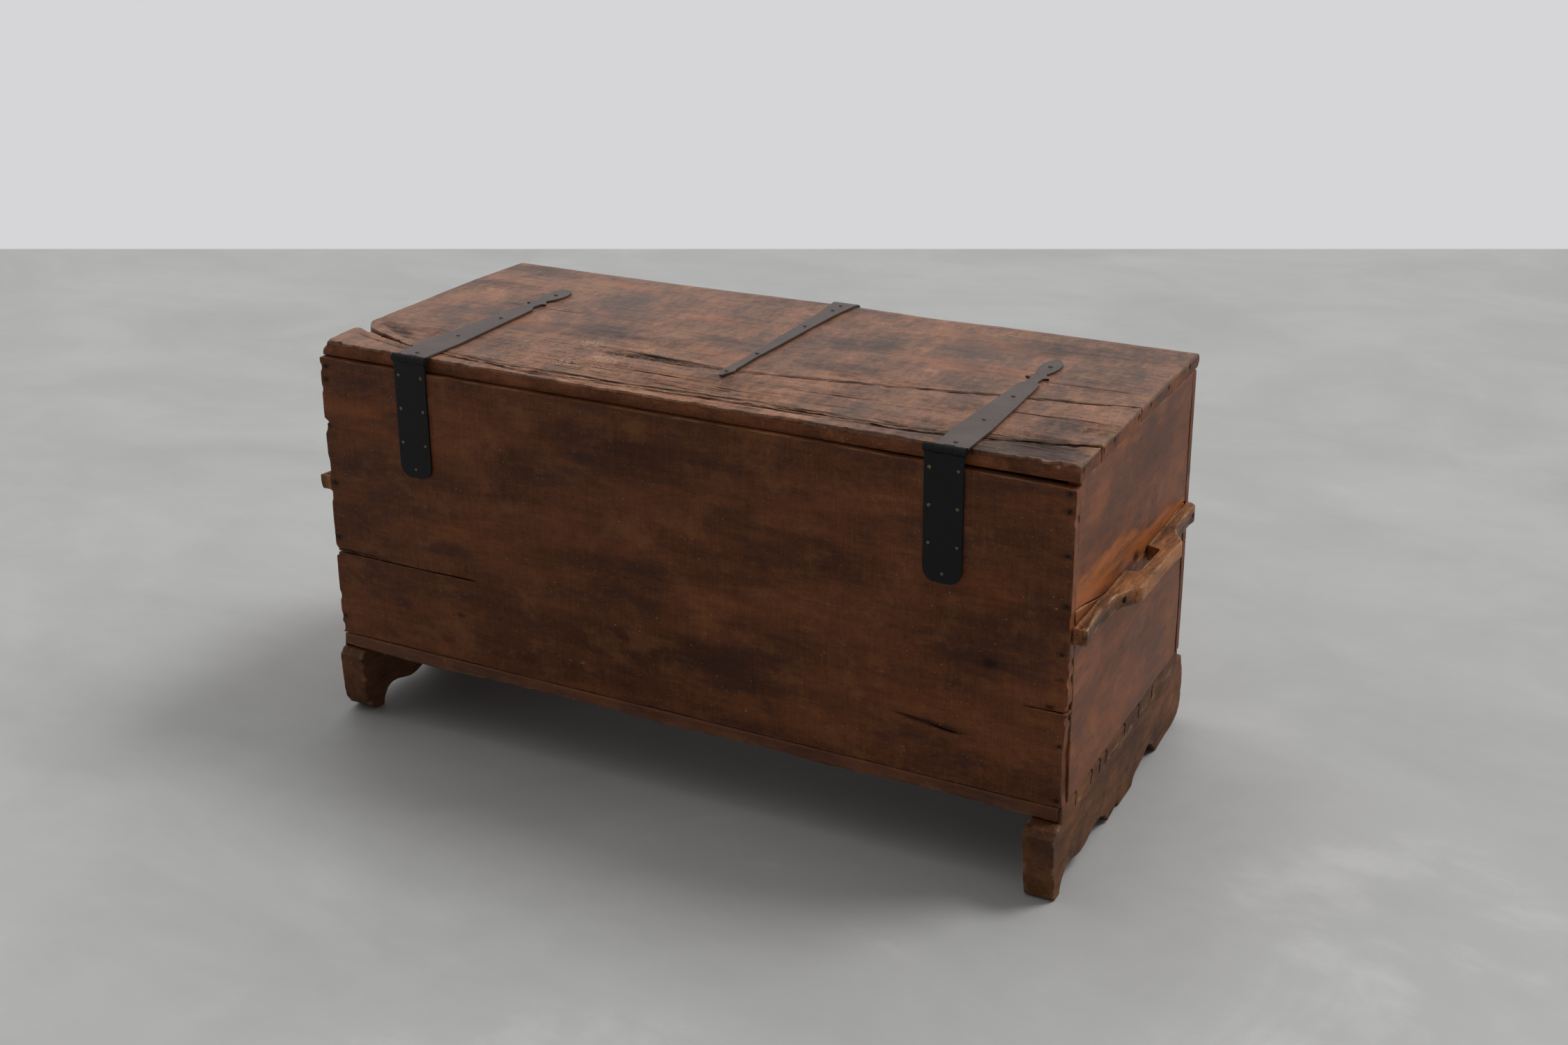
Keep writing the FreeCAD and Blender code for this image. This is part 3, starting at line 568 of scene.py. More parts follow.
def sawn(outline, thick, arris, step, seed, extra=(), second=None, ledge=0.0, ragged=0.4):
    """Points (a, b, depth) and faces of a sawn shape, with fine triangles on both flat sides.

    extra lists points that the first flat side has to have. second is an outline with as many
    points that takes over from depth ledge, for a housing.
    """
    ring = np.array(outline, float)
    if double_area(ring) < 0:
        ring = ring[::-1]
        second = None if second is None else np.array(second, float)[::-1]
    n = len(ring)
    run = np.arange(n) * step
    soft = arris * np.clip(1 + ragged * layered(run / 30, 0 * run, seed, 4), 0.3, 2.5)
    other = ring if second is None else np.array(second, float)
    levels = [(ring, soft * (1 - math.sin(a)), soft * (1 - math.cos(a))) for a in ARRIS_TURNS]
    if second is not None:
        levels += [(ring, 0 * soft, 0 * soft + ledge), (other, 0 * soft, 0 * soft + ledge + 0.1)]
    first = levels[-1][2].max()
    steps = max(1, int((thick - 2 * arris - first) / (1.6 * step)))
    for k in range(1, steps):
        levels.append((other, 0 * soft, 0 * soft + first + (thick - arris - first) * k / steps))
    levels += [(other, soft * (1 - math.sin(a)), thick - soft * (1 - math.cos(a)))
               for a in ARRIS_TURNS[::-1]]
    points, faces = [], []
    for base, inset, depth in levels:
        flat = base + inward(base) * inset[:, None]
        points.append(np.column_stack([flat, depth]))
    k = np.arange(n)
    nxt = (k + 1) % n
    for level in range(len(levels) - 1):
        a, b = level * n, (level + 1) * n
        faces += np.stack([a + nxt, a + k, b + k, b + nxt], -1).tolist()
    total = len(levels) * n
    for level, flip in ((0, False), (len(levels) - 1, True)):
        rim = points[level][:, :2]
        fill = filling(rim, step, seed, () if flip else extra)
        coords = [Vector(p) for p in np.concatenate([rim, fill])]
        loop = [(i, (i + 1) % n) for i in range(n)]
        verts, _, tris, origin, _, _ = delaunay_2d_cdt(coords, loop, [list(range(n))], 1, 1e-5)
        number = {}
        added = []
        for i, source in enumerate(origin):
            if source and source[0] < n:
                number[i] = level * n + source[0]
            else:
                number[i] = total + len(added)
                added.append((verts[i][0], verts[i][1], points[level][:, 2].mean()))
        total += len(added)
        points.append(np.array(added).reshape(-1, 3))
        for tri in tris:
            corners = [number[i] for i in tri]
            faces.append(corners[::-1] if flip else corners)
    return np.concatenate(points), faces


# Materials ----------------------------------------------------------------------------------
class Tree:
    """A short way to write a shader tree."""

    def __init__(self, name):
        old = bpy.data.materials.get(name)
        self.material = old or bpy.data.materials.new(name)
        self.material.use_nodes = True
        self.nodes, self.links = self.material.node_tree.nodes, self.material.node_tree.links
        self.nodes.clear()
        self.out = self.nodes.new("ShaderNodeOutputMaterial")
        self.shader = self.nodes.new("ShaderNodeBsdfPrincipled")
        self.links.new(self.shader.outputs[0], self.out.inputs[0])
        self.place = self.nodes.new("ShaderNodeTexCoord").outputs["Object"]

    def put(self, socket, value):
        """Link a socket, or set a plain value, into a socket."""
        if hasattr(value, "is_output"):
            self.links.new(value, socket)
        else:
            socket.default_value = value

    def stretch(self, scale):
        node = self.nodes.new("ShaderNodeMapping")
        node.inputs["Scale"].default_value = scale
        self.links.new(self.place, node.inputs["Vector"])
        return node.outputs[0]

    def noise(self, vector, detail=4.0, rough=0.55, warp=0.0):
        node = self.nodes.new("ShaderNodeTexNoise")
        for key, value in (("Vector", vector), ("Scale", 1.0), ("Detail", detail), ("Roughness", rough),
                           ("Distortion", warp)):
            self.put(node.inputs[key], value)
        return node.outputs["Fac"]

    def field(self, label):
        """A point field of the mesh, such as how dirty or painted dark it is."""
        node = self.nodes.new("ShaderNodeAttribute")
        node.attribute_name = label
        return node.outputs["Fac"]

    def math(self, kind, a, b=0.0, c=0.0, clamp=False):
        node = self.nodes.new("ShaderNodeMath")
        node.operation, node.use_clamp = kind, clamp
        for i, value in enumerate((a, b, c)):
            self.put(node.inputs[i], value)
        return node.outputs[0]

    def total(self, start, *textures):
        """start plus the swing of each (texture, weight) about its middle."""
        value = start - 0.5 * sum(weight for _, weight in textures)
        for texture, weight in textures:
            value = self.math("MULTIPLY_ADD", texture, weight, value)
        return value

    def rise(self, value, low, high, floor=0.0, top=1.0):
        """A smooth step from floor to top as value goes from low to high."""
        node = self.nodes.new("ShaderNodeMapRange")
        node.interpolation_type = "SMOOTHSTEP"
        for i, number in enumerate((value, low, high, floor, top)):
            self.put(node.inputs[i], number)
        return node.outputs[0]

    def mix(self, share, a, b):
        node = self.nodes.new("ShaderNodeMix")
        node.data_type = "RGBA"
        for index, value in ((0, share), (6, a), (7, b)):
            self.put(node.inputs[index], value)
        return node.outputs[2]

    def ramp(self, share, stops):
        node = self.nodes.new("ShaderNodeValToRGB")
        band = node.color_ramp
        while len(band.elements) < len(stops):
            band.elements.new(0.5)
        for element, (place, colour) in zip(band.elements, stops):
            element.position, element.color = place, (*colour, 1)
        self.links.new(share, node.inputs[0])
        return node.outputs[0]

    def bump(self, heights, distance):
        node = self.nodes.new("ShaderNodeBump")
        node.inputs["Strength"].default_value = 1.0
        node.inputs["Distance"].default_value = distance
        self.links.new(heights, node.inputs["Height"])
        self.links.new(node.outputs[0], self.shader.inputs["Normal"])


def shade(colour, factor):
    """A colour made lighter or darker."""
    return tuple(c * factor for c in colour)


FLAKE = (0.44, 0.30, 0.18)         # bare wood where the wax has flaked off


def old_wood(name, colour, grain="x", contrast=1.0, wipe=0.0, gloss=0.45, sheen=0.3, rough_grain=0.4,
             amber=(0.30, 0.125, 0.042), plum=(0.055, 0.024, 0.017), pale=(0.40, 0.25, 0.15),
             warm=(0.33, 0.090, 0.020), stain=0.6, haze=0.5, streaks=1.0, band=0.0, mottle=0.0,
             dented=False, weave=(1.0, 1.0)):
    """Waxed old softwood: mottled, streaked along the grain, dirty in cracks and pale where rubbed.

    stain and haze are the strengths of the amber and plum clouds, wipe that of upright wiping
    marks, band that of broad bands along the grain and mottle that of fine blotches. Where
    dented is set, flakes are dark dents. weave makes the pattern finer along and across the
    grain.
    """
    tree = Tree(name)

    def grained(along, across, height=None):
        height = across if height is None else height
        along, across = along * weave[0], across * weave[1]
        return tree.stretch((along, across, height) if grain == "x" else (across, along, height))

    blotch = tree.noise(grained(6, 9.5), detail=8, rough=0.66, warp=0.15)
    fibre = tree.noise(grained(9, 70), detail=6, rough=0.65)
    thread = tree.noise(grained(30, 520), detail=4, rough=0.68)
    speck = tree.noise(tree.stretch((420, 420, 420)), detail=3, rough=0.65)
    textures = [(blotch, 1.5 - 0.7 * band), (fibre, 0.75 * streaks), (thread, 0.8 * streaks), (speck, 0.6)]
    if wipe:
        textures.append((tree.noise(tree.stretch((240, 240, 8)), detail=5, rough=0.62), wipe))
    if mottle:
        textures.append((tree.noise(tree.stretch((110, 48, 48)), detail=7, rough=0.72), mottle))
    if band:
        textures.append((tree.noise(grained(2.4, 17), detail=7, rough=0.66, warp=0.1), band))
    value = tree.total(0.5, *((texture, weight * contrast) for texture, weight in textures))
    value = tree.math("MULTIPLY_ADD", tree.field("tone"), 0.5, value)
    lightest = tuple(c * k for c, k in zip(colour, (1.9, 2.1, 2.3)))
    base = tree.ramp(value, [(0.0, shade(colour, 0.26)), (0.33, shade(colour, 0.62)), (0.54, colour),
                             (0.78, shade(colour, 1.45)), (1.0, lightest)])
    glow = tree.rise(tree.noise(grained(11, 15), detail=8, rough=0.74, warp=0.2), 0.50, 0.66)
    base = tree.mix(tree.math("MULTIPLY", glow, stain), base, (*amber, 1))
    dusk = tree.rise(tree.noise(grained(5, 11, 13), detail=8, rough=0.72, warp=0.1), 0.50, 0.66)
    base = tree.mix(tree.math("MULTIPLY", dusk, haze), base, (*plum, 1))
    warmth = tree.math("MULTIPLY", tree.field("warm"), tree.rise(fibre, 0.35, 0.62, 0.2, 1.0), clamp=True)
    base = tree.mix(warmth, base, (*warm, 1))
    fray = tree.field("fray")
    slit = tree.rise(tree.noise(grained(8, 300), detail=4, rough=0.6, warp=0.15), 0.565, 0.66)
    slit = tree.math("MULTIPLY", slit, tree.math("MULTIPLY", fray, 0.9), clamp=True)
    marks = tree.field("flakes")
    if dented:
        dent = tree.rise(tree.noise(tree.stretch((150, 150, 58)), detail=3, rough=0.6), 0.60, 0.70)
        dent = tree.math("MULTIPLY", dent, tree.math("MULTIPLY", marks, 0.5))
        slit = tree.math("MAXIMUM", slit, dent, clamp=True)
    base = tree.mix(slit, base, (*shade(colour, 0.12), 1))
    splinter = tree.rise(tree.noise(grained(7, 240), detail=4, rough=0.65), 0.56, 0.70)
    rub = tree.math("MULTIPLY_ADD", splinter, tree.math("MULTIPLY", fray, 0.34), tree.field("wear"))
    grit = tree.noise(grained(70, 380), detail=4, rough=0.7)
    rub = tree.math("MULTIPLY", rub, tree.rise(grit, 0.30, 0.58), clamp=True)
    base = tree.mix(rub, base, (*pale, 1))
    if not dented:
        chip = tree.noise(tree.stretch((190, 300, 300)), detail=3, rough=0.6)
        flake = tree.rise(tree.math("MULTIPLY_ADD", marks, 0.20, chip), 0.69, 0.75, 0.0, 0.85)
        base = tree.mix(flake, base, (*FLAKE, 1))
    mote = tree.rise(tree.noise(tree.stretch((240, 240, 240)), detail=1, rough=0.4), 0.80, 0.82, 0.0, 0.22)
    base = tree.mix(mote, base, (*pale, 1))
    # Darkening by a point field: real soiling in cracks, kerfs and round nails, painted shade where a handle
    # meets its end board and behind its finger gap, and the skids' patchy darkening towards the floor.
    dirt = tree.math("MULTIPLY", tree.field("grime"), tree.rise(grit, 0.15, 0.5, 0.75, 1.0), clamp=True)
    base = tree.mix(dirt, base, (*shade(colour, 0.06), 1))
    tree.put(tree.shader.inputs["Base Color"], base)
    gleam = tree.total(gloss, (blotch, 0.24), (speck, 0.16))
    gleam = tree.math("MULTIPLY_ADD", tree.math("MAXIMUM", dirt, slit), 0.35, gleam)
    gleam = tree.math("MULTIPLY_ADD", fray, 0.12, gleam, clamp=True)
    tree.put(tree.shader.inputs["Roughness"], gleam)
    tree.shader.inputs["Specular IOR Level"].default_value = sheen
    height = tree.total(0.0, (thread, 0.9 * rough_grain), (fibre, rough_grain), (speck, 0.5 * rough_grain))
    height = tree.math("MULTIPLY_ADD", slit, -1.5, height)
    height = tree.math("MULTIPLY_ADD", splinter, tree.math("MULTIPLY", fray, 0.7), height)
    tree.bump(height, 0.0010)
    return tree.material


def forged_iron(name, colour, bloom_colour=(0.010, 0.0088, 0.0082), gloss=0.45, sheen=0.13):
    """Blackened forged iron with hammer marks, brown bloom and rubbed high spots."""
    tree = Tree(name)
    dent = tree.noise(tree.stretch((55, 55, 55)), detail=2, rough=0.4)
    grain = tree.noise(tree.stretch((420, 420, 420)), detail=4, rough=0.7)
    bloom = tree.noise(tree.stretch((16, 16, 16)), detail=5, rough=0.65)
    base = tree.ramp(bloom, [(0.30, shade(colour, 0.8)), (0.52, colour), (0.72, bloom_colour)])
    base = tree.mix(tree.rise(grain, 0.62, 0.8, 0.0, 0.35), base, (*shade(bloom_colour, 2.6), 1))
    tree.put(tree.shader.inputs["Base Color"], base)
    tree.shader.inputs["Specular IOR Level"].default_value = sheen
    tree.put(tree.shader.inputs["Roughness"], tree.math("MULTIPLY_ADD", grain, 0.3, gloss - 0.12))
    height = tree.math("MULTIPLY_ADD", grain, 0.12, dent)
    tree.bump(height, 0.0003)
    return tree.material


def worn_screw(name, colour):
    """Rubbed brassy screw heads, dark in the slot."""
    tree = Tree(name)
    patch = tree.noise(tree.stretch((300, 300, 300)), detail=4, rough=0.6)
    base = tree.ramp(patch, [(0.35, shade(colour, 0.16)), (0.55, shade(colour, 0.55)), (0.72, colour)])
    tree.put(tree.shader.inputs["Base Color"], base)
    tree.shader.inputs["Metallic"].default_value = 0.6
    tree.put(tree.shader.inputs["Roughness"], tree.math("MULTIPLY_ADD", patch, 0.3, 0.35))
    tree.bump(patch, 0.0003)
    return tree.material


# Settings -----------------------------------------------------------------------------------
class CHEST_PG_wood(bpy.types.PropertyGroup):
    """Colours of the wood, and how fine its meshes are"""
    wall_colour: FloatVectorProperty(name="Back and front", description="Waxed colour of the long walls",
                                     subtype="COLOR", default=(0.143, 0.047, 0.0175), min=0, max=1)
    end_colour: FloatVectorProperty(name="Ends", description="Waxed colour of the end boards",
                                    subtype="COLOR", default=(0.195, 0.062, 0.022), min=0, max=1)
    # The lid's colour is lifted lighter and greyer than its wood to stand in for the sheen on its top:
    # painted sheen.
    lid_colour_and_sheen: FloatVectorProperty(name="Lid", description="Waxed colour of the lid",
                                    subtype="COLOR", default=(0.200, 0.089, 0.048), min=0, max=1)
    skid_colour: FloatVectorProperty(name="Skids", description="Colour of the rough skids",
                                     subtype="COLOR", default=(0.142, 0.056, 0.023), min=0, max=1)
    handle_colour: FloatVectorProperty(name="Handles", description="Colour of the rubbed handles",
                                       subtype="COLOR", default=(0.235, 0.092, 0.033), min=0, max=1)
    lid_step: FloatProperty(name="Lid mesh", description="Spacing of the lid's lattice across the grain",
                            default=0.0026, unit="LENGTH", min=0.001)
    wall_step: FloatProperty(name="Wall mesh", description="Spacing of the walls' lattice across the grain",
                             default=0.0034, unit="LENGTH", min=0.001)


class CHEST_PG_iron(bpy.types.PropertyGroup):
    """Colours and edges of the ironwork"""
    colour: FloatVectorProperty(name="Iron", description="Colour of the blackened iron",
                                subtype="COLOR", default=(0.009, 0.009, 0.009), min=0, max=1)
    # Lifted well above the leaves' black to stand in for the sheen on the straps' tops: painted sheen over a
    # real brown film.
    strap_colour_and_sheen: FloatVectorProperty(name="Straps", description="Colour of the browned straps on the lid",
                                      subtype="COLOR", default=(0.075, 0.053, 0.044), min=0, max=1)
    screw_colour: FloatVectorProperty(name="Screws", description="Colour of the rubbed screw heads",
                                      subtype="COLOR", default=(0.34, 0.22, 0.12), min=0, max=1)
    bevel: FloatProperty(name="Edge", description="Rounding of the iron's edges",
                         default=0.0005, unit="LENGTH", min=0)


class CHEST_PG_stage(bpy.types.PropertyGroup):
    """Floor, backdrop and light"""
    floor_colour: FloatVectorProperty(name="Floor", description="Colour of the floor",
                                      subtype="COLOR", default=(0.40, 0.40, 0.395), min=0, max=1)
    backdrop: FloatProperty(name="Backdrop", description="Brightness behind the floor",
                            default=0.67, min=0, max=1)
    shade_side: FloatProperty(name="Shade side", description="Soft light from the dimmer side",
                              default=0.18, min=0)
    bright_side: FloatProperty(name="Bright side", description="Soft light from the brighter side",
                               default=1.38, min=0)
    lamp: FloatProperty(name="Lamp", description="Strength of the wide skylight", default=1.38, min=0)


def wood(kind):
    """The wood material of one group of pieces, made once."""
    name = "Old wood, " + kind
    made = bpy.data.materials.get(name)
    if made:
        return made
    settings = bpy.context.scene.chest_wood
    walls, ends, lid = tuple(settings.wall_colour), tuple(settings.end_colour), tuple(settings.lid_colour_and_sheen)
    skids, handles = tuple(settings.skid_colour), tuple(settings.handle_colour)
    recipes = {
        "walls": dict(colour=walls, wipe=0.35, gloss=0.5, sheen=0.13, stain=0.35, haze=0.75,
                      streaks=0.5, mottle=0.45, band=1.1, amber=(0.30, 0.120, 0.045),
                      plum=(0.050, 0.019, 0.014)),
        "ends": dict(colour=ends, grain="y", wipe=0.12, gloss=0.45, sheen=0.15, contrast=0.85, haze=0.45,
                     streaks=0.7, stain=0.4, dented=True, mottle=0.4, amber=(0.36, 0.125, 0.038),
                     warm=(0.42, 0.125, 0.027)),
        "lid": dict(colour=lid, gloss=0.40, sheen=0.28, contrast=1.2, rough_grain=0.9, haze=0.6, stain=0.4,
                    amber=(0.34, 0.160, 0.066), plum=(0.066, 0.042, 0.033), streaks=0.5, weave=(1.6, 0.55),
                    mottle=1.1),
        "edges": dict(colour=shade(walls, 1.15), gloss=0.5, sheen=0.13, stain=0.7, haze=0.6,
                      amber=(0.30, 0.110, 0.040), plum=(0.050, 0.020, 0.014), weave=(1.5, 1.0)),
        "floor": dict(colour=shade(walls, 0.95), gloss=0.6, contrast=0.8, stain=0.2),
        "skids": dict(colour=skids, grain="y", gloss=0.6, sheen=0.15, contrast=1.1, rough_grain=1.0,
                      stain=0.3),
        "handles": dict(colour=handles, grain="y", gloss=0.45, sheen=0.15, contrast=1.9, rough_grain=1.0,
                        pale=(0.46, 0.28, 0.15), stain=0.3, haze=0.6, plum=(0.045, 0.020, 0.012)),
        "battens": dict(colour=shade(lid, 0.9), grain="y", gloss=0.6),
    }
    return old_wood(name, **recipes[kind])


def iron():
    """The black iron of the leaves, the hasp and the hinge's knuckles."""
    made = bpy.data.materials.get("Blackened iron")
    return made or forged_iron("Blackened iron", tuple(bpy.context.scene.chest_iron.colour))


def browned_iron_and_sheen():
    """The browned iron of the straps and nails on the lid, lifted lighter than the leaves' iron as painted
    sheen over a real brown film.
    """
    made = bpy.data.materials.get("Browned iron")
    colour = tuple(bpy.context.scene.chest_iron.strap_colour_and_sheen)
    return made or forged_iron("Browned iron", colour, bloom_colour=(0.105, 0.070, 0.053), gloss=0.40,
                               sheen=0.3)


def nail_iron():
    """The dark iron of the nails and bolts in the chest."""
    made = bpy.data.materials.get("Nail iron")
    return made or forged_iron("Nail iron", (0.010, 0.0065, 0.005), gloss=0.6, sheen=0.15)


def screw_metal():
    """The rubbed metal of the screws in the hinge leaves."""
    made = bpy.data.materials.get("Rubbed screws")
    return made or worn_screw("Rubbed screws", tuple(bpy.context.scene.chest_iron.screw_colour))


# Nail lines: drops below the rim, at the low and the high end --------------------------------
BACK_NAILS = {-1: (15, 37, 113, 211, 305, 445), 1: (12, 37, 100, 173, 244, 282, 382, 466)}
FRONT_NAILS = {side: (20, 96, 172, 248, 324, 400, 460) for side in (-1, 1)}


def nail_places(rows):
    """(x, z) of the nails of a long wall."""
    return [(side * (HALF - END_THICK / 2 - 2.5 * float(bumps(i * 2.3, side * 1.9, 17))), LID_LOW - drop)
            for side, drops in rows.items() for i, drop in enumerate(drops)]


# Lid lines ----------------------------------------------------------------------------------
def lid_line(points):
    """A joint of the lid as y over x, from (share of the half length, share of the depth)."""
    return through([(along * HALF, BACK + across * DEPTH) for along, across in points])


REAR_JOINT = lid_line(((-1.0, 0.181), (-0.77, 0.091), (-0.60, 0.065), (0.0, 0.072), (0.34, 0.083),
                       (0.60, 0.076), (0.80, 0.116), (1.0, 0.176)))
FRONT_JOINT = lid_line(((-1.0, 0.330), (-0.35, 0.322), (0.08, 0.301), (0.29, 0.333), (0.55, 0.388),
                        (1.0, 0.491)))
SAG = through([(-625, 3), (-200, 3), (-40, 0.6), (90, 0.6), (180, 1.8), (300, 0)])    # of the lid's nose


def on_lid(points):
    """Points given from the lid's rear edge, in the frame's own places."""
    return [(x, LID_BACK + y) for x, y in points]


class ChestOperator(bpy.types.Operator):
    """What all makers of the chest share"""
    bl_options = {"REGISTER", "UNDO"}


def back_marks():
    """Stains, dents, wear and rubbed specks of the back, as patches in x and z."""
    marks = [Patch(x, z, 9, 5.5, tone=-0.3, grime=0.45, depth=0.6) for x, z in nail_places(BACK_NAILS)]
    marks += [Patch(425, 222, 66, 7, tone=-0.7, depth=2.0, grime=0.25, lean=-0.07),
              Patch(511, 334, 10, 8, tone=-1.0, depth=1.3, grime=0.5),
              Patch(511, 334, 30, 20, tone=-0.35, depth=0.4), Patch(599, 288, 9, 5, depth=2.2, grime=0.7),
              Patch(-385, 218, 12, 5, tone=-0.8, depth=0.6), Patch(-479, 318, 2.5, 9, wear=1.2),
              Patch(-100, 240, 260, 40, tone=-0.25), Patch(250, 180, 200, 30, tone=0.15),
              Patch(500, 350, 120, 60, tone=-0.25), Patch(-60, 560, 300, 22, tone=-0.3),
              Patch(203, 490, 60, 26, tone=0.35), Patch(83, 330, 50, 24, tone=0.35),
              Patch(-545, 518, 60, 40, warm=0.30), Patch(-345, 358, 90, 40, warm=0.22),
              Patch(495, 438, 80, 36, warm=0.22), Patch(415, 254, 90, 18, warm=0.25),
              Patch(-65, 518, 110, 40, tone=-0.4), Patch(-265, 478, 80, 50, tone=-0.35),
              Patch(95, 238, 120, 40, tone=-0.35)]
    marks += [Patch(x, z, 5, 3.5, wear=1.2, depth=0.3)
              for x, z in ((-493, 340), (347, 536), (427, 368), (-151, 184), (-155, 252))]
    return marks


class CHEST_OT_walls(ChestOperator):
    """Make the back and the front, two boards each"""
    bl_idname = "chest.walls"
    bl_label = "Back and front"

    def execute(self, context):
        step = context.scene.chest_wood.wall_step / MM
        wall = dict(body="chest", slot="wall_wood", material=wood("walls"), along="x", across="z",
                    through_axis="y", s_range=(-HALF, HALF), wave=0.7, fibre=0.12)
        back = dict(w_range=(BACK + WALL, BACK), step=(6, step), edge_wear=0.35, hand_edges=0.8, face=11,
                    patches=back_marks(), **wall)
        front = dict(w_range=(FRONT - WALL, FRONT), step=(9, step * 1.3), arris=1.4, **wall)
        low, high = edges_mm("back_board_lower"), edges_mm("back_board_upper")
        joint = (low[1][2] + high[0][2]) / 2
        closed = (-345, 560)         # where the joint of the back is tight
        sag = through([(-625, 0), (200, 0.0), (380, 0.8), (480, 2.2), (600, 4.6), (625, 5.0)])
        boards = [
            plank("back_board_lower", sides=(low[0][2], joint - 0.15), seed=11, arris=1.0,
                  snug=[("high", *closed)],
                  bites=[(272, 4, 9, "high"), (235, 3, 40, "high"), (180, 3.5, 60, "high"),
                         (148, 4, 12, "low"), (205, 2.5, 10, "low"), (168, 2, 9, "low"), (281, 5, 7, "low")],
                  cracks=[Crack([(362, 228), (390, 226), (420, 222), (455, 217), (478, 216)], width=1.2,
                                depth=3, lift=0.8, seed=5)], **back),
            plank("back_board_upper", sides=(joint + 0.15, lambda s: high[1][2] + 1.4 - sag(s)), seed=23,
                  arris=1.2, snug=[("low", *closed)],
                  bites=[(504, 6, 7, "low"), (498, 4, 14, "low"), (560, 2, 8, "low"), (430, 3, 22, "low"),
                         (380, 3, 14, "low"), (285, 4, 9, "low"), (596, 3, 9, "low"), (287, 3.5, 10, "high"),
                         (566, 2, 8, "high"), (420, 2, 14, "high"), (356, 2, 8, "high"),
                         (330, 2.5, 10, "high")],
                  cracks=[Crack([(-640, joint + 3.5), (-570, joint + 3), (-500, joint + 3)], width=1.4,
                                depth=3, seed=6)], **back)]
        front_low, front_high = edges_mm("front_board_lower"), edges_mm("front_board_upper")
        joint = (front_low[1][2] + front_high[0][2]) / 2
        plank("front_board_lower", sides=(front_low[0][2], joint - 0.3), seed=31, **front)
        plank("front_board_upper", sides=(joint + 0.3, front_high[1][2]), seed=37,
              patches=[Patch(25, 560, 60, 60, tone=-0.3), Patch(-300, 450, 200, 60, tone=0.2)], **front)
        for board in boards:
            repaint(board, wood("ends"),
                    lambda at, way: (np.abs(way[:, 0]) > 0.6) & (np.abs(at[:, 0]) > HALF - 4))
        return {"FINISHED"}


def end_marks():
    """Rubbed band over the handle, stains and dents of an end, and painted shade behind the handle's finger
    gap, as patches in y and z.
    """
    return [Band([(-276, 465), (-24, 454), (39, 436), (118, 428), (197, 420), (265, 402)], 62,
                 warm=0.9, tone=0.1),
            Patch(8, 404, 12, 9, tone=-1.0, depth=2.0, grime=0.55),
            # Patch(5, 385, 70, 30) darkens the board seen through the handle's finger gap: painted shade.
            Patch(4, 412, 26, 12, tone=-0.6), Patch(5, 385, 70, 30, tone=-0.6, grime=0.2),
            Patch(-110, 440, 130, 24, tone=-0.9), Patch(60, 424, 60, 14, tone=-0.6),
            Patch(0, 540, 290, 90, tone=-0.25), Patch(-98, 276, 90, 30, depth=0.7, tone=-0.15),
            Patch(-200, 330, 90, 50, tone=0.15), Patch(120, 250, 120, 60, tone=-0.15),
            Patch(60, 540, 200, 40, tone=-0.25), Patch(-150, 560, 120, 40, tone=0.2),
            Patch(76, 488, 30, 60, flakes=1.0), Patch(-92, 501, 9, 16, flakes=1.2),
            Patch(-155, 465, 9, 14, flakes=1.2), Patch(18, 475, 10, 16, flakes=1.2),
            Patch(-20, 300, 130, 40, flakes=0.35)]


class CHEST_OT_ends(ChestOperator):
    """Make the two end boards of each end"""
    bl_idname = "chest.ends"
    bl_label = "Ends"

    def execute(self, context):
        step = context.scene.chest_wood.wall_step / MM
        board = dict(body="chest", slot="end_wood", material=wood("ends"), along="y", across="z",
                     through_axis="x", step=(6, step), wave=0.7, fibre=0.2, face=41, patches=end_marks())
        for side, sign in (("left", -1), ("right", 1)):
            low, high = edges_mm(side + "_end_board_lower"), edges_mm(side + "_end_board_upper")
            faces = (sign * (HALF - END_THICK), sign * HALF)
            top, bottom = low[1][2], high[0][2]
            waney = through([(BACK, top), (BACK + 50, (top + bottom) / 2 + 8), (BACK + 110, top - 23),
                             (FRONT, bottom)])
            plank(side + "_end_board_lower", s_range=(low[0][1], low[1][1]),
                  sides=(low[0][2], lambda s: waney(s) - 0.6), w_range=faces, seed=41 + sign, arris=1.6,
                  edge_wear=0.9, **board)
            plank(side + "_end_board_upper", s_range=(high[0][1], high[1][1]),
                  sides=(lambda s: waney(s) + 0.6, high[1][2]), w_range=faces, seed=47 + sign, arris=1.4,
                  edge_wear=0.6, **board)
        return {"FINISHED"}


class CHEST_OT_bottom(ChestOperator):
    """Make the three bottom boards"""
    bl_idname = "chest.bottom"
    bl_label = "Bottom"

    def execute(self, context):
        material = wood("floor")
        worn = through([(-600, 2), (-450, 0), (-300, 3), (-150, 4.5), (0, 1.5), (120, 4), (260, 1),
                        (420, 3.5), (560, 0.5)])
        for i, part in enumerate(("rear", "middle", "front")):
            name = "bottom_board_" + part
            low, high = edges_mm(name)
            drop = worn if part != "middle" else None
            plank(name, "chest", "floor_wood", material, "x", "y", "z", (low[0], high[0]),
                  (low[1], high[1]), (high[2], low[2]), seed=61 + i, arris=3.5, step=(8, 9), wave=0.8,
                  fibre=0.2, edge_wear=0.5, hand_edges=0.7, drop=drop)
        return {"FINISHED"}


def spline_step(k, knots, basis, i, degree):
    """One step of the recursion for B-spline weights."""
    a, b = knots[i + degree] - knots[i], knots[i + degree + 1] - knots[i + 1]
    left = (k - knots[i]) / a * basis[i] if a else 0
    right = (knots[i + degree + 1] - k) / b * basis[i + 1] if b else 0
    return left + right


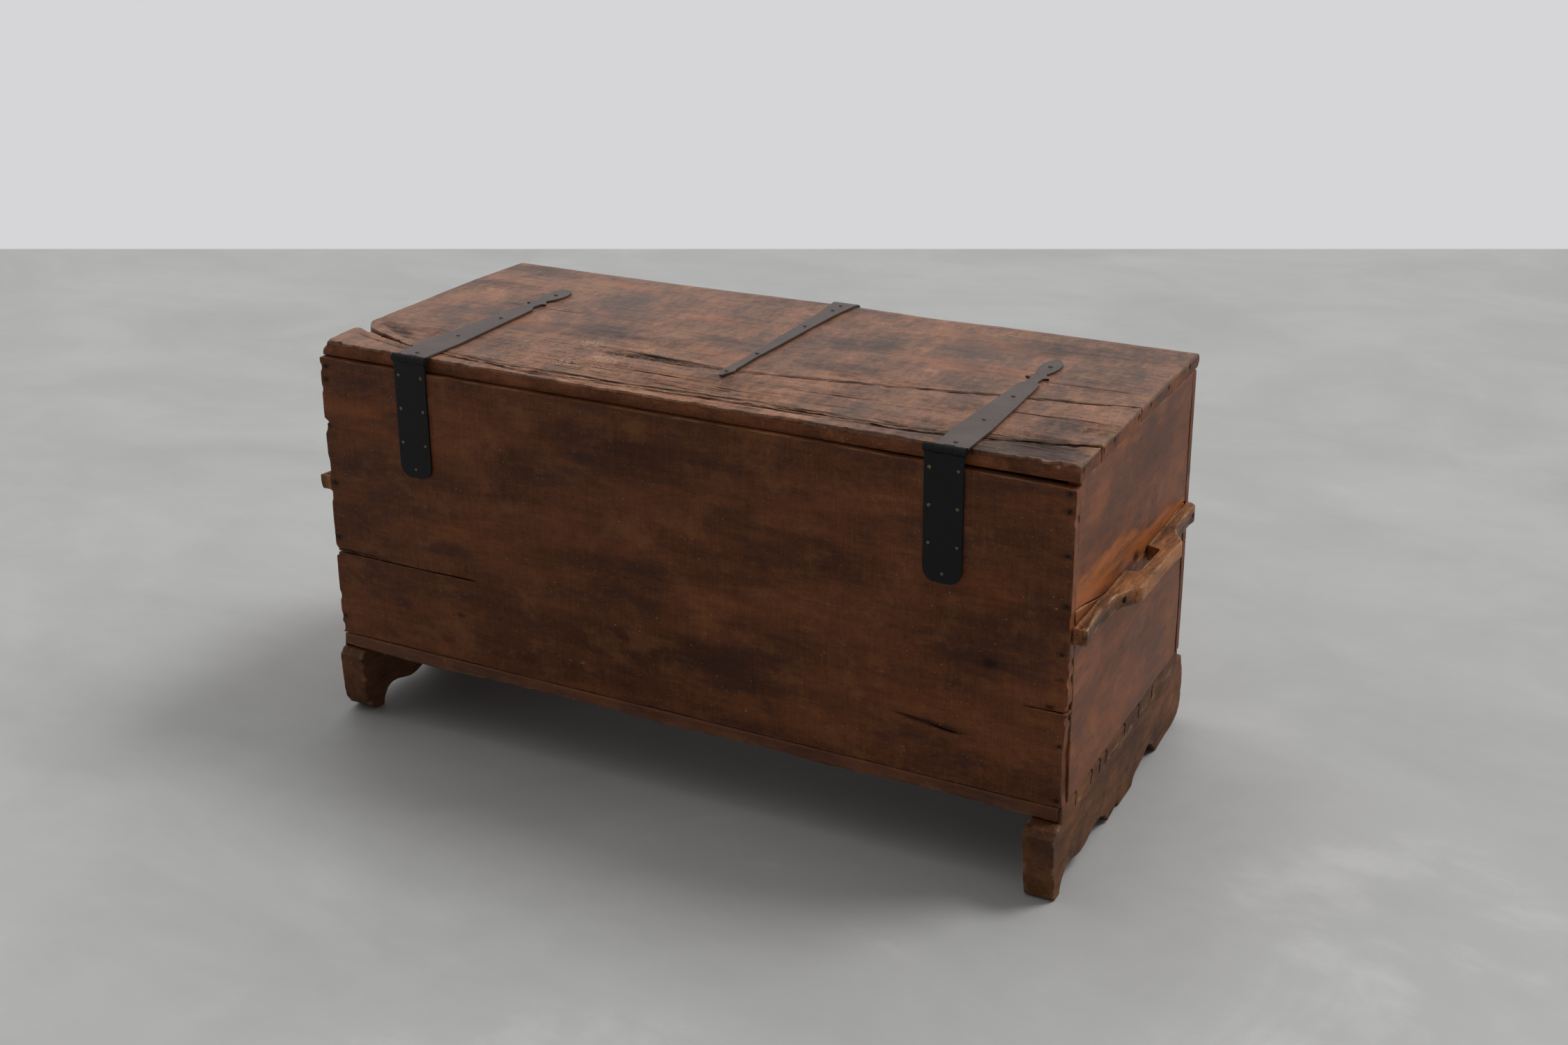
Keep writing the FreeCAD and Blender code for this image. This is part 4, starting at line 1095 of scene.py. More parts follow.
def scallop(start, stop, poles, count):
    """A carved hollow under a skid: a cubic B-spline over poles (share of its run, height)."""
    a = np.array([(BACK + start + share * (stop - start), z) for share, z in poles], float)
    k = np.linspace(0, 1, count)[1:-1, None]
    order = len(a) - 1
    knots = np.concatenate([[0] * 3, np.linspace(0, 1, order - 1), [1] * 3])
    basis = [np.where((k >= knots[i]) & (k < knots[i + 1]), 1.0, 0.0) for i in range(len(knots) - 1)]
    for degree in (1, 2, 3):
        basis = [spline_step(k, knots, basis, i, degree) for i in range(len(knots) - 1 - degree)]
    inner = sum(weight * pole for weight, pole in zip(basis, a))
    return [tuple(a[0])] + [tuple(p) for p in inner] + [tuple(a[-1])]


def skid_profile(side):
    """Outline of a skid in y and z, anticlockwise from the back edge of its cheek."""
    low, high = edges_mm(side + "_skid")
    back, front = low[1], high[1]
    lean, turn, foot = {"left": (4, 38, 34), "right": (14, 10, 5)}[side]
    rear = scallop(foot, 213, ((0, 0), (0.02, 22), (0.16, 38), (0.43, 11), (0.69, 36), (0.93, 26),
                               (1, 3)), 30)
    nick = scallop(213, 268, ((0, 3), (0.3, 6), (0.66, 3), (0.8, 20), (0.88, 2), (1, 0)), 12)
    arch = scallop(330, 455, ((0, 0), (0.05, 17), (0.32, 12), (0.56, 34), (0.82, 26), (0.92, 2), (1, 0)), 22)
    points = [(BACK, SKID_TOP), (back + 9, SKID_TOP), (back, SKID_TOP - 9), (back + lean, turn)]
    points += [(back + lean + turn * (1 - math.cos(a)), turn * (1 - math.sin(a)))
               for a in np.radians([20, 45, 70, 90])]
    points += rear + nick[1:] + arch + [(BACK + 505, 0)]
    k = np.linspace(0, 1, 8)[1:, None]
    toe = [np.array(p, float) for p in ((BACK + 505, 0), (FRONT, 0), (front, 0), (front, 52))]
    bend = (1 - k) ** 3 * toe[0] + 3 * k * (1 - k) ** 2 * toe[1]
    bend = bend + 3 * k ** 2 * (1 - k) * toe[2] + k ** 3 * toe[3]
    points += [tuple(p) for p in bend] + [(front, SKID_TOP - 27), (front - 9, SKID_TOP), (FRONT, SKID_TOP)]
    return points


def skid_rings(side):
    """Even outlines of a skid: its tall cheek, and the runner behind that carries the bottom."""
    ledge = resample([(FRONT, SKID_TOP), (BACK, SKID_TOP)], 3.2)
    ledge = ledge[:len(ledge) // 2 + 1]
    rest = resample(skid_profile(side), 3.6)
    start = int(np.argmin(np.hypot(rest[:, 0] - FRONT, rest[:, 1] - SKID_TOP)))
    rest = rest[:start + 1]
    rise = FLOOR_TOP - SKID_TOP - 0.6
    hewn = 1.6 * layered(ledge[:, 0] / 22, 0 * ledge[:, 0], 77, 4)
    raised = ledge + np.stack([0 * hewn, rise - 1.8 + np.clip(hewn, -1.8, 1.8)], -1)
    return np.concatenate([rest, raised[1:-1]]), np.concatenate([rest, ledge[1:-1]])


KERFS = (58, 124, 160, 190, 275, 345, 412)         # saw cuts across a cheek, from the back


def kerf_lines():
    """Points (y, z) beside the saw cuts, so that the cheek's triangles follow them."""
    return [(BACK + kerf + off, z) for kerf in KERFS
            for z in np.arange(SKID_TOP + 1.5, FLOOR_TOP - 3, 2.6) for off in (-1.6, -0.7, 0.7, 1.6)]


class CHEST_OT_skids(ChestOperator):
    """Make the two sledge skids with their housings and saw cuts"""
    bl_idname = "chest.skids"
    bl_label = "Skids"

    def execute(self, context):
        material = wood("skids")
        for side, sign in (("left", -1), ("right", 1)):
            low, high = edges_mm(side + "_skid")
            width, cheek = high[0] - low[0], HALF - edges_mm("bottom_board_rear")[1][0]
            cheek_ring, runner_ring = skid_rings(side)
            points, faces = sawn(cheek_ring, width, 3.0, 4.2, 71 + sign, extra=kerf_lines(),
                                 second=runner_ring, ledge=cheek, ragged=0.15)
            y, z, depth = points.T
            edge = nearest(runner_ring, points[:, :2])
            lump = layered(y / 60, z / 35, 83 + sign, 4)
            grain = layered(y / 45, z / 4, 89 + sign, 3)
            sink = 0.9 * (1 + lump) + 0.35 * (1 + grain)
            grime = np.zeros(len(y))
            outer = depth < 3.2
            for kerf in KERFS:
                off = np.abs(y - BACK - kerf - 0.04 * (z - SKID_TOP))
                cut = (off < 1.1) & outer & (z > SKID_TOP + 1) & (z < FLOOR_TOP - 2)
                sink = np.where(cut, 5.0, sink)
                grime = grime + np.exp(-(off / 1.8) ** 2) * outer * ramp(z, SKID_TOP - 1, SKID_TOP + 3)
            shift = inward_all(runner_ring, points[:, :2])
            side_wave = 0.35 * (1 + layered(y / 60 + z / 60, depth / 30, 97 + sign, 2))
            side_wave = side_wave * (1 - ramp(edge, 0, 6)) * (z < SKID_TOP - 2)
            x = sign * (HALF - depth - flat_side(depth, width, 6) * sink)
            y, z = y + shift[:, 0] * side_wave, z + shift[:, 1] * side_wave
            on_floor = np.clip(1 - z / 4, 0, 1)
            z = np.maximum(z - on_floor * side_wave * 0.5, 0)
            if sign > 0:
                faces = [face[::-1] for face in faces]
            arris = np.exp(-(edge / 4.5) ** 2) * np.exp(-(np.minimum(depth, width - depth) / 4) ** 2)
            wear = arris * ramp(layered(y / 18, z / 9, 101, 3), 0.0, 0.8) * 0.8
            # Darker towards the floor, in patches.
            low_dirt = 0.35 * (1 - ramp(z, 4, 45)) * ramp(layered(y / 50, z / 25, 103, 3), -0.6, 0.6)
            fields = {"grime": np.clip(grime + low_dirt, 0, 1.2), "wear": wear, "fray": 0.5 * arris,
                      "tone": 0.25 * layered(y / 120, z / 60, 107 + sign, 3)}
            obj = mesh_object(side + "_skid", np.stack([x, y, z], -1), faces, fields, smooth_angle=40)
            settle(obj, "chest", "skid_wood", material, side + "_skid")
        return {"FINISHED"}


HANDLE_THICK = 27.0
GRIP_START, GRIP_STOP = BACK + 224, BACK + 332         # the finger gap


def handle_ring(start, stop):
    """Even outline of a handle as (distance from the end board, y)."""
    run = stop - start
    outer = through([(0, 22), (0.03, 21), (0.09, 16.5), (0.148, 15.4), (0.191, 17.4), (0.243, 20),
                     (0.278, 26), (0.306, 33), (0.325, 39.5), (0.383, 41.4), (0.467, 41.3),
                     (0.544, 41), (0.619, 41.4), (0.66, 43)])
    far = through([(0.66, 43), (0.687, 43.5), (0.705, 38), (0.743, 26), (0.797, 19.4), (0.862, 19),
                   (0.924, 18.6), (0.97, 19.5), (0.988, 16), (1.0, 9)])
    ring = [(float(outer(k)), start + k * run) for k in np.linspace(0, 0.66, 60)]
    ring += [(float(far(k)), start + k * run) for k in np.linspace(0.66, 1.0, 40)[1:]]
    ring += [(0.4, stop), (0.4, GRIP_STOP + 4), (1.5, GRIP_STOP), (20.5, GRIP_STOP - 6),
             (21.5, GRIP_STOP - 14), (20.8, (GRIP_START + GRIP_STOP) / 2), (19.5, GRIP_START + 14),
             (15, GRIP_START + 5), (3, GRIP_START + 1), (0.4, GRIP_START - 3), (0.4, start)]
    return resample(ring, 3.4)


class CHEST_OT_handles(ChestOperator):
    """Make the two bowed handles"""
    bl_idname = "chest.handles"
    bl_label = "Handles"

    def execute(self, context):
        material = wood("handles")
        thick = HANDLE_THICK
        for side, sign in (("left", -1), ("right", 1)):
            low, high = edges_mm(side + "_handle")
            start, stop = low[1], high[1]
            ring = handle_ring(start, stop)
            points, faces = sawn(ring, thick, 2.6, 3.6, 131 + sign, ragged=0.5)
            a, y, depth = points.T
            k = (y - start) / (stop - start)
            edge = nearest(ring, points[:, :2])
            ways = inward_all(ring, points[:, :2])
            grain = layered(y / 55, a / 3.2, 137 + sign, 3)
            lump = layered(y / 60, a / 25, 139 + sign, 3)
            split = np.exp(-((a - 9 - 6 * k) / 0.9) ** 2) * ramp(k, -0.1, 0.02) * (1 - ramp(k, 0.05, 0.16))
            sink = 0.5 * (1 + lump) + 0.45 * (1 + grain) + 3.2 * split
            wave = 0.5 * (1 + layered(y / 35, depth / 7, 149 + sign, 4)) * (1 - ramp(edge, 0, 5)) * (a > 3)
            chamfer = 3 * ramp(depth, thick - 13, thick) * (1 - ramp(k, 0, 0.045)) * (a > 6)
            a, y = a + ways[:, 0] * wave - 0.5 * chamfer, y + ways[:, 1] * wave + 0.7 * chamfer
            z = high[2] - (high[2] - low[2] - thick) * k - depth - flat_side(depth, thick, 3.5) * sink - 0.5
            world = np.stack([sign * (HALF + a), np.clip(y, start, stop), z], -1)
            if sign < 0:
                faces = [face[::-1] for face in faces]
            arris = np.exp(-(edge / 3.0) ** 2) * np.exp(-(np.minimum(depth, thick - depth) / 2.2) ** 2)
            ridge = arris * ramp(layered(y / 30, a / 8, 151 + sign, 3), -0.5, 0.5)
            outer_face = (1 - ramp(edge, 0, 3)) * (a > 12)
            warm = 0.35 * ramp(layered(y / 50, a / 9, 157 + sign, 3), -0.2, 0.6)
            # Painted shade: faces within 3 mm of the end board, where the handle meets it, are darkened; the
            # darkening in the split is real soiling.
            fields = {"grime": np.clip(0.9 * split + 0.5 * (a < 3) * (1 - ramp(edge, 0, 3)), 0, 1),
                      "wear": np.clip(1.4 * ridge, 0, 1),
                      "tone": 0.25 * lump + outer_face * (0.5 * ramp(a, 28, 38) - 0.3 * ramp(depth, 4, 20)),
                      "warm": warm * (1 - outer_face),
                      "fray": 0.6 * ramp(layered(y / 60, a / 12, 163 + sign, 3), -0.3, 0.6)}
            obj = mesh_object(side + "_handle", world, faces, fields, smooth_angle=45)
            settle(obj, "chest", "handle_wood", material, side + "_handle")
        return {"FINISHED"}


def lid_marks():
    """Flaked, dark, golden, frayed and worn places of the lid, and painted sheen along its rear edge, as
    patches in x and y.
    """
    flaked = [(-177, -149), (-233, -89), (-121, -81), (-337, -213), (-217, -185), (95, -209), (155, -209)]
    dark = [(-241, -25, 80, 40), (-145, -33, 60, 30), (-65, 7, 60, 30), (143, 87, 70, 36),
            (175, -33, 90, 34), (407, 175, 80, 30), (439, 207, 90, 30), (-569, 239, 70, 30),
            (-553, 127, 70, 34), (559, 239, 90, 60), (-330, -50, 90, 40), (560, 60, 60, 50)]
    golden = [(-521, 167, 80, 22), (-409, 223, 90, 22), (-345, 215, 60, 18), (-113, 111, 90, 26),
              (255, 200, 110, 26), (335, 167, 110, 24), (-9, -49, 80, 20), (63, 215, 80, 20),
              (-430, -50, 150, 26), (330, 60, 150, 34)]
    marks = [Patch(-225, -145, 170, 110, flakes=0.44), Patch(-60, -120, 90, 60, flakes=0.25)]
    marks += [Patch(x, y, 34, 20, flakes=0.4, tone=0.15) for x, y in flaked]
    marks += [Patch(*place, tone=-0.55) for place in dark]
    marks += [Patch(*place, warm=0.30, tone=0.15) for place in golden]
    marks += [Patch(-112, -115, 124, 12, tone=-0.8, depth=1.8, fray=0.5, grime=0.15),
              Patch(-551, -166, 84, 15, tone=-0.5, fray=0.9, lean=-0.57),
              Patch(-40, -192, 330, 38, fray=0.6),
              Patch(30, -204, 120, 16, wear=0.4, fray=0.8, depth=0.4),
              Patch(330, -146, 140, 36, tone=0.25),
              Patch(570, -156, 70, 70, tone=-0.45),
              Patch(600, -116, 34, 36, wear=0.5, depth=1.2, flakes=0.15, fray=0.9),
              Patch(60, -148, 110, 16, tone=-0.5),
              Patch(450, -191, 150, 26, fray=0.5),
              Patch(-520, -156, 90, 26, tone=-0.2, fray=0.5),
              # These two strips along the lid's rear edge are lightened to stand in for the sheen there
              # (painted sheen); their frayed grain is real.
              Patch(-60, -250, 300, 18, tone=0.15, fray=0.3),
              Patch(-60, -248, 400, 34, tone=0.6, fray=0.55),
              Patch(500, -236, 160, 48, tone=-0.75, fray=0.4),
              Patch(480, -120, 150, 40, tone=-0.3),
              Patch(480, -258, 90, 14, tone=-0.4),
              Patch(560, -226, 70, 40, tone=-0.5, fray=0.3),
              Patch(-200, -254, 60, 8, fray=0.6, depth=0.8),
              Patch(90, -246, 160, 14, fray=0.6),
              Patch(260, -60, 160, 20, tone=0.15, fray=0.4),
              Patch(-60, -150, 560, 90, fray=0.22),
              Patch(500, -150, 130, 90, fray=0.30),
              Patch(-150, -60, 160, 30, fray=0.35),
              Patch(520, -60, 110, 40, fray=0.25)]
    return marks


def round_nose(flat, width, thick):
    """Roll the lid's front edge over to a nose: a long upper curve and a short lower one."""
    upper_run, lower_run, drop, sag_run = 19.0, 12.0, 10.0, 150.0
    flat[:, 2] -= SAG(flat[:, 0]) * ramp(flat[:, 1], width - sag_run, width) * ramp(flat[:, 2], 0, thick)
    t, w = flat[:, 1], flat[:, 2]
    past = np.clip((t - (width - upper_run)) / upper_run, 0, 1)
    top = thick - drop * (1 - np.sqrt(np.clip(1 - past ** 2, 0, 1)))
    low_past = np.clip((t - (width - lower_run)) / lower_run, 0, 1)
    bottom = (thick - drop) * (1 - np.sqrt(np.clip(1 - low_past ** 2, 0, 1)))
    flat[:, 2] = bottom + (top - bottom) * np.clip(w / thick, 0, 1)
    return flat


LID_END_HOLES = (512, 403, 315, 259, 153, 106, 25)         # in the right end, from the back


class CHEST_OT_lid(ChestOperator):
    """Make the three boards of the lid and the two battens under it"""
    bl_idname = "chest.lid"
    bl_label = "Lid"

    def execute(self, context):
        step = context.scene.chest_wood.lid_step / MM
        board = dict(body="lid", slot="lid_wood", material=wood("lid"), along="x", across="y",
                     through_axis="z", s_range=(-HALF, HALF), w_range=(LID_LOW, LID_TOP), ragged=0.5,
                     wave=0.7, fibre=0.3, edge_wear=0.45, patches=lid_marks(), face=211,
                     end_holes=[BACK + y for y in LID_END_HOLES])
        rear_joint = [(x, float(REAR_JOINT(x))) for x in (-470, -300, -150, 0, 150, 300, 450, 600)]
        closed = -225         # the front joint is tight from the left end up to here
        front_joint = [(x, float(FRONT_JOINT(x)) + 4) for x in (closed, -80, 60, 200, 400, 600)]
        split = through([(-HALF, 30), (-617, 20), (-604, 12), (-585, 8), (-540, 6), (-482, 0)])
        rear = plank(
            "lid_board_rear", sides=(LID_BACK, lambda s: REAR_JOINT(s) - 0.3), seed=211, arris=0.9,
            step=(4.0, 2.0), hand_edges=0.8, jags=(4.0, 3.0),
            chips=[(-330, 60, 5, "low"), (-210, 40, 7, "low"), (-60, 50, 5, "low"), (60, 45, 7, "low"),
                   (150, 30, 5, "low"), (330, 40, 4, "low"), (520, 60, 9, "low"), (590, 30, 8, "low"),
                   (10, 40, 7, "high"), (120, 50, 6, "high"), (230, 40, 6, "high")],
            end_chips=[(LID_BACK + 6, 14, 5, "high"), (LID_BACK + 6, 14, 8, "low"),
                       (LID_BACK + 92, 16, 9, "low")],
            cracks=[Crack([(x, y - 5) for x, y in rear_joint], width=2.2, depth=0.8, fray=0.5, reach=6,
                          seed=2),
                    Crack(on_lid([(-600, 58), (-540, 40), (-490, 28), (-430, 20)]), width=0.9, depth=2.2,
                          pale=0.5, fray=0.6, seed=3),
                    Crack(on_lid([(-60, 24), (40, 27), (140, 29), (240, 35)]), width=1.3, depth=2.5,
                          pale=0.6, fray=0.7, seed=4)], **board)
        middle = plank(
            "lid_board_middle", seed=223, arris=0.9, step=(4.5, step), hand_edges=0.7, jags=(3.4, 2.6),
            sides=(lambda s: REAR_JOINT(s) + 0.3 + split(s), lambda s: FRONT_JOINT(s) - 0.15),
            snug=[("high", -640, closed)],
            chips=[(-560, 60, 6, "low"), (-40, 70, 5, "low"), (60, 50, 8, "low"), (170, 50, 6, "low"),
                   (-80, 60, 4, "high"), (560, 60, 4, "high")],
            end_chips=[(LID_BACK + 108, 14, 10, "low"), (LID_BACK + 150, 24, 3, "high"),
                       (LID_BACK + 250, 16, 4, "high"), (LID_BACK + 98, 12, 5, "high")],
            cracks=[Crack([(x, y + 8) for x, y in rear_joint], width=2.2, depth=1.4, pale=0.8, fray=0.8,
                          reach=11, seed=6),
                    Crack([(x, y + 12) for x, y in rear_joint[1:6]], width=1.2, depth=3.0, pale=0.9,
                          seed=16),
                    Crack(on_lid([(300, 52), (367, 47), (417, 52), (470, 65), (517, 73), (582, 89)]),
                          width=1.3, depth=3.0, pale=0.9, lift=0.7, fray=0.5, seed=7),
                    Crack(on_lid([(440, 160), (466, 165), (510, 168), (553, 171), (600, 176)]), width=1.1,
                          depth=3.5, pale=0.4, seed=8),
                    Crack(on_lid([(-160, 92), (-60, 95), (40, 92), (120, 96)]), width=1.0, depth=1.6,
                          pale=0.6, fray=0.6, seed=9),
                    Crack(on_lid([(140, 118), (220, 122), (300, 128)]), width=0.9, depth=1.4, pale=0.4,
                          fray=0.4, seed=10)], **board)
        front = plank(
            "lid_board_front", sides=(lambda s: FRONT_JOINT(s) + 0.15, NOSE), seed=239, arris=1.0,
            step=(5.5, step * 1.35), hand_edges=0.6, nose=round_nose, jags=(2.0, 0.5),
            snug=[("low", -640, closed)],
            chips=[(-100, 60, 4, "low"), (560, 50, 4, "low")],
            end_chips=[(NOSE - 20, 20, 5, "high"), (0, 20, 3, "high")],
            cracks=[Crack(front_joint, width=2.0, depth=0.5, lift=0.6, pale=0.7, fray=0.5, reach=7, seed=11),
                    Crack([(-500, 40), (-420, 38), (-330, 41)], width=0.8, depth=1.0, seed=12),
                    Crack([(420, 40), (520, 44), (600, 47)], width=0.8, depth=1.4, seed=13)], **board)
        # The lid's flanks take the walls' darker wood with little sheen; the top keeps the lid colour, lifted
        # as painted sheen.
        for piece in (rear, middle, front):
            repaint(piece, wood("edges"), lambda at, way: (way[:, 2] < 0.8) & (at[:, 2] < LID_TOP - 5.5))
        for name in ("lid_batten_left", "lid_batten_right"):
            low, high = edges_mm(name)
            plank(name, "lid", "batten_wood", wood("battens"), "y", "x", "z", (low[1], high[1]),
                  (low[0], high[0]), (high[2], low[2]), seed=251, arris=3.5, step=(9, 6), wave=0.3,
                  fibre=0.2, edge_wear=0.5)
        return {"FINISHED"}


# Ironwork -----------------------------------------------------------------------------------
IRON_ANGLE = math.radians(35)         # sharper turns than this are edges of the iron


def plain_mesh(obj):
    """Turn an object with modifiers into one with the plain mesh that they give."""
    depsgraph = bpy.context.evaluated_depsgraph_get()
    depsgraph.update()
    final = bpy.data.meshes.new_from_object(obj.evaluated_get(depsgraph))
    obj.modifiers.clear()
    obj.data = final
    return final


def dressed(node, body, slot, material, bevel, bend=None):
    """A CAD node's shape with eased edges, smoothly shaded; bend moves its points, in mm."""
    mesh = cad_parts[node].data.copy()
    shell = bmesh.new()
    shell.from_mesh(mesh)
    bmesh.ops.remove_doubles(shell, verts=shell.verts, dist=2e-6)
    bmesh.ops.dissolve_limit(shell, angle_limit=math.radians(0.5), verts=shell.verts, edges=shell.edges)
    shell.to_mesh(mesh)
    shell.free()
    if bend is not None:
        places = np.empty(3 * len(mesh.vertices))
        mesh.vertices.foreach_get("co", places)
        mesh.vertices.foreach_set("co", bend(places.reshape(-1, 3) / MM).ravel() * MM)
    mesh.shade_smooth()
    mesh.set_sharp_from_angle(angle=IRON_ANGLE)
    obj = bpy.data.objects.new(node + "_dressed", mesh)
    bpy.context.scene.collection.objects.link(obj)
    ease = obj.modifiers.new("Ease", "BEVEL")
    ease.width, ease.segments, ease.limit_method = bevel, 2, "ANGLE"
    ease.angle_limit, ease.harden_normals = IRON_ANGLE, True
    plain_mesh(obj)
    return settle(obj, body, slot, material, node)


def middle_of(node):
    """The x of a node's middle."""
    low, high = edges_mm(node)
    return (low[0] + high[0]) / 2


def slimmed(places):
    """The hasp's strap worn slimmer between its spearhead and the lid's nose."""
    x, y, _ = places.T
    middle, tip = middle_of("hasp_strap"), edges_mm("hasp_strap")[0][1]
    width = through([(tip, 1.0), (tip + 26, 1.25), (tip + 50, 0.95), (tip + 160, 0.82), (NOSE - 60, 0.86),
                     (NOSE - 12, 1.0)])
    places[:, 0] = middle + (x - middle) * width(y)
    return places


class CHEST_OT_ironwork(ChestOperator):
    """Make the strap hinges, the hasp, its strap and its staple"""
    bl_idname = "chest.ironwork"
    bl_label = "Ironwork"

    def execute(self, context):
        bevel = context.scene.chest_iron.bevel
        pieces = [("hasp_strap", "lid"), ("hasp", "hasp"), ("hasp_pin", "lid"), ("hasp_staple", "chest")]
        for side in ("left", "right"):
            pieces += [(side + "_hinge_leaf", "chest"), (side + "_hinge_pin", "chest"),
                       (side + "_hinge_strap", "lid")]
        for node, body in pieces:
            piece = dressed(node, body, "black_iron", browned_iron_and_sheen() if "strap" in node else iron(), bevel,
                            bend=slimmed if node == "hasp_strap" else None)
            if "hinge_strap" in node:
                repaint(piece, iron(), lambda at, way: at[:, 1] < BACK + 9)
        return {"FINISHED"}


def lathe(profile, sides, seed=0, uneven=0.0):
    """A closed solid of revolution round Z from (radius, height) points, axis to axis."""
    shell = bmesh.new()
    rings = []
    for radius, height in profile:
        if radius == 0:
            rings.append([shell.verts.new((0, 0, height * MM))])
            continue
        ring = []
        for k in range(sides):
            angle = 2 * math.pi * k / sides
            r = radius * MM * (1 + uneven * float(bumps(k * 1.7, radius, seed)))
            ring.append(shell.verts.new((r * math.cos(angle), r * math.sin(angle), height * MM)))
        rings.append(ring)
    for a, b in zip(rings, rings[1:]):
        for k in range(sides):
            nxt = (k + 1) % sides
            corners = ([a[0], b[k], b[nxt]] if len(a) == 1 else
                       [a[k], b[0], a[nxt]] if len(b) == 1 else [a[k], b[k], b[nxt], a[nxt]])
            shell.faces.new(corners)
    bmesh.ops.recalc_face_normals(shell, faces=shell.faces)
    mesh = bpy.data.meshes.new("turned")
    shell.to_mesh(mesh)
    shell.free()
    obj = bpy.data.objects.new("turned", mesh)
    bpy.context.scene.collection.objects.link(obj)
    return obj


def slotted(obj, radius, slot_width, depth_from, depth_to):
    """Cut a screwdriver slot across a turned head."""
    bpy.ops.mesh.primitive_cube_add(size=1, location=(0, 0, 0))
    cutter = bpy.context.object
    for v in cutter.data.vertices:
        v.co = Vector((v.co.x * 3 * radius, v.co.y * slot_width,
                       depth_from + (v.co.z + 0.5) * (depth_to - depth_from))) * MM
    cut = obj.modifiers.new("Slot", "BOOLEAN")
    cut.object, cut.operation, cut.solver = cutter, "DIFFERENCE", "EXACT"
    plain_mesh(obj)
    bpy.data.objects.remove(cutter)
    return obj


def fixing_tree():
    """Geometry nodes that set one head on every point, turned at random about its own axis."""
    made = bpy.data.node_groups.get("Set fixings")
    if made:
        return made
    tree = bpy.data.node_groups.new("Set fixings", "GeometryNodeTree")
    for label, kind, default in (("Geometry", "Geometry", None), ("Head", "Object", None),
                                 ("Facing", "Vector", None), ("Smallest", "Float", 0.85),
                                 ("Largest", "Float", 1.1), ("Tilt", "Float", 0.06), ("Seed", "Int", 7),
                                 ("Material", "Material", None)):
        socket = tree.interface.new_socket(label, in_out="INPUT", socket_type="NodeSocket" + kind)
        if default is not None:
            socket.default_value = default
    tree.interface.new_socket("Geometry", in_out="OUTPUT", socket_type="NodeSocketGeometry")
    nodes, links = tree.nodes, tree.links
    given, result = nodes.new("NodeGroupInput"), nodes.new("NodeGroupOutput")
    head = nodes.new("GeometryNodeObjectInfo")
    place = nodes.new("GeometryNodeInstanceOnPoints")
    aim = nodes.new("FunctionNodeAlignRotationToVector")
    aim.axis = "Z"
    spin = nodes.new("FunctionNodeRandomValue")
    spin.data_type = "FLOAT"
    spin.inputs[2].default_value, spin.inputs[3].default_value = 0.0, 2 * math.pi
    lean = nodes.new("FunctionNodeRandomValue")
    lean.data_type = "FLOAT_VECTOR"
    size = nodes.new("FunctionNodeRandomValue")
    size.data_type = "FLOAT"
    turn = nodes.new("FunctionNodeAxisAngleToRotation")
    turn.inputs["Axis"].default_value = (0, 0, 1)
    rotate = nodes.new("FunctionNodeRotateRotation")
    rotate.rotation_space = "LOCAL"
    tip = nodes.new("ShaderNodeVectorMath")
    tip.operation = "ADD"
    real, paint = nodes.new("GeometryNodeRealizeInstances"), nodes.new("GeometryNodeSetMaterial")
    low = nodes.new("ShaderNodeMath")
    low.operation, low.inputs[1].default_value = "MULTIPLY", -1
    links.new(given.outputs["Head"], head.inputs["Object"])
    links.new(given.outputs["Tilt"], low.inputs[0])
    links.new(low.outputs[0], lean.inputs[0])
    links.new(given.outputs["Tilt"], lean.inputs[1])
    links.new(given.outputs["Facing"], tip.inputs[0])
    links.new(lean.outputs[0], tip.inputs[1])
    links.new(tip.outputs[0], aim.inputs["Vector"])
    links.new(given.outputs["Smallest"], size.inputs[2])
    links.new(given.outputs["Largest"], size.inputs[3])
    for node in (spin, size, lean):
        links.new(given.outputs["Seed"], node.inputs["Seed"])
    links.new(spin.outputs[1], turn.inputs["Angle"])
    links.new(aim.outputs[0], rotate.inputs["Rotation"])
    links.new(turn.outputs[0], rotate.inputs["Rotate By"])
    links.new(given.outputs["Geometry"], place.inputs["Points"])
    links.new(head.outputs["Geometry"], place.inputs["Instance"])
    links.new(rotate.outputs[0], place.inputs["Rotation"])
    links.new(size.outputs[1], place.inputs["Scale"])
    links.new(place.outputs[0], real.inputs[0])
    links.new(real.outputs[0], paint.inputs["Geometry"])
    links.new(given.outputs["Material"], paint.inputs["Material"])
    links.new(paint.outputs[0], result.inputs[0])
    return tree


def fixings(node, body, slot, material, head, facing, places, tilt=0.05, seed=7, sizes=(0.85, 1.1)):
    """Heads at places in millimetres, all facing one way, as one plain mesh that stands for a node."""
    mesh = bpy.data.meshes.new(node + "_heads")
    mesh.from_pydata([tuple(c * MM for c in place) for place in places], [], [])
    obj = bpy.data.objects.new(node + "_heads", mesh)
    bpy.context.scene.collection.objects.link(obj)
    group = fixing_tree()
    modifier = obj.modifiers.new("Fixings", "NODES")
    modifier.node_group = group
    values = {"Head": head, "Facing": facing, "Seed": seed, "Material": material, "Tilt": tilt,
              "Smallest": sizes[0], "Largest": sizes[1]}
    for item in group.interface.items_tree:
        if item.item_type == "SOCKET" and item.in_out == "INPUT" and item.name in values:
            modifier[item.identifier] = values[item.name]
    obj.update_tag()
    final = plain_mesh(obj)
    final.shade_smooth()
    final.set_sharp_from_angle(angle=IRON_ANGLE)
    return settle(obj, body, slot, material, node)


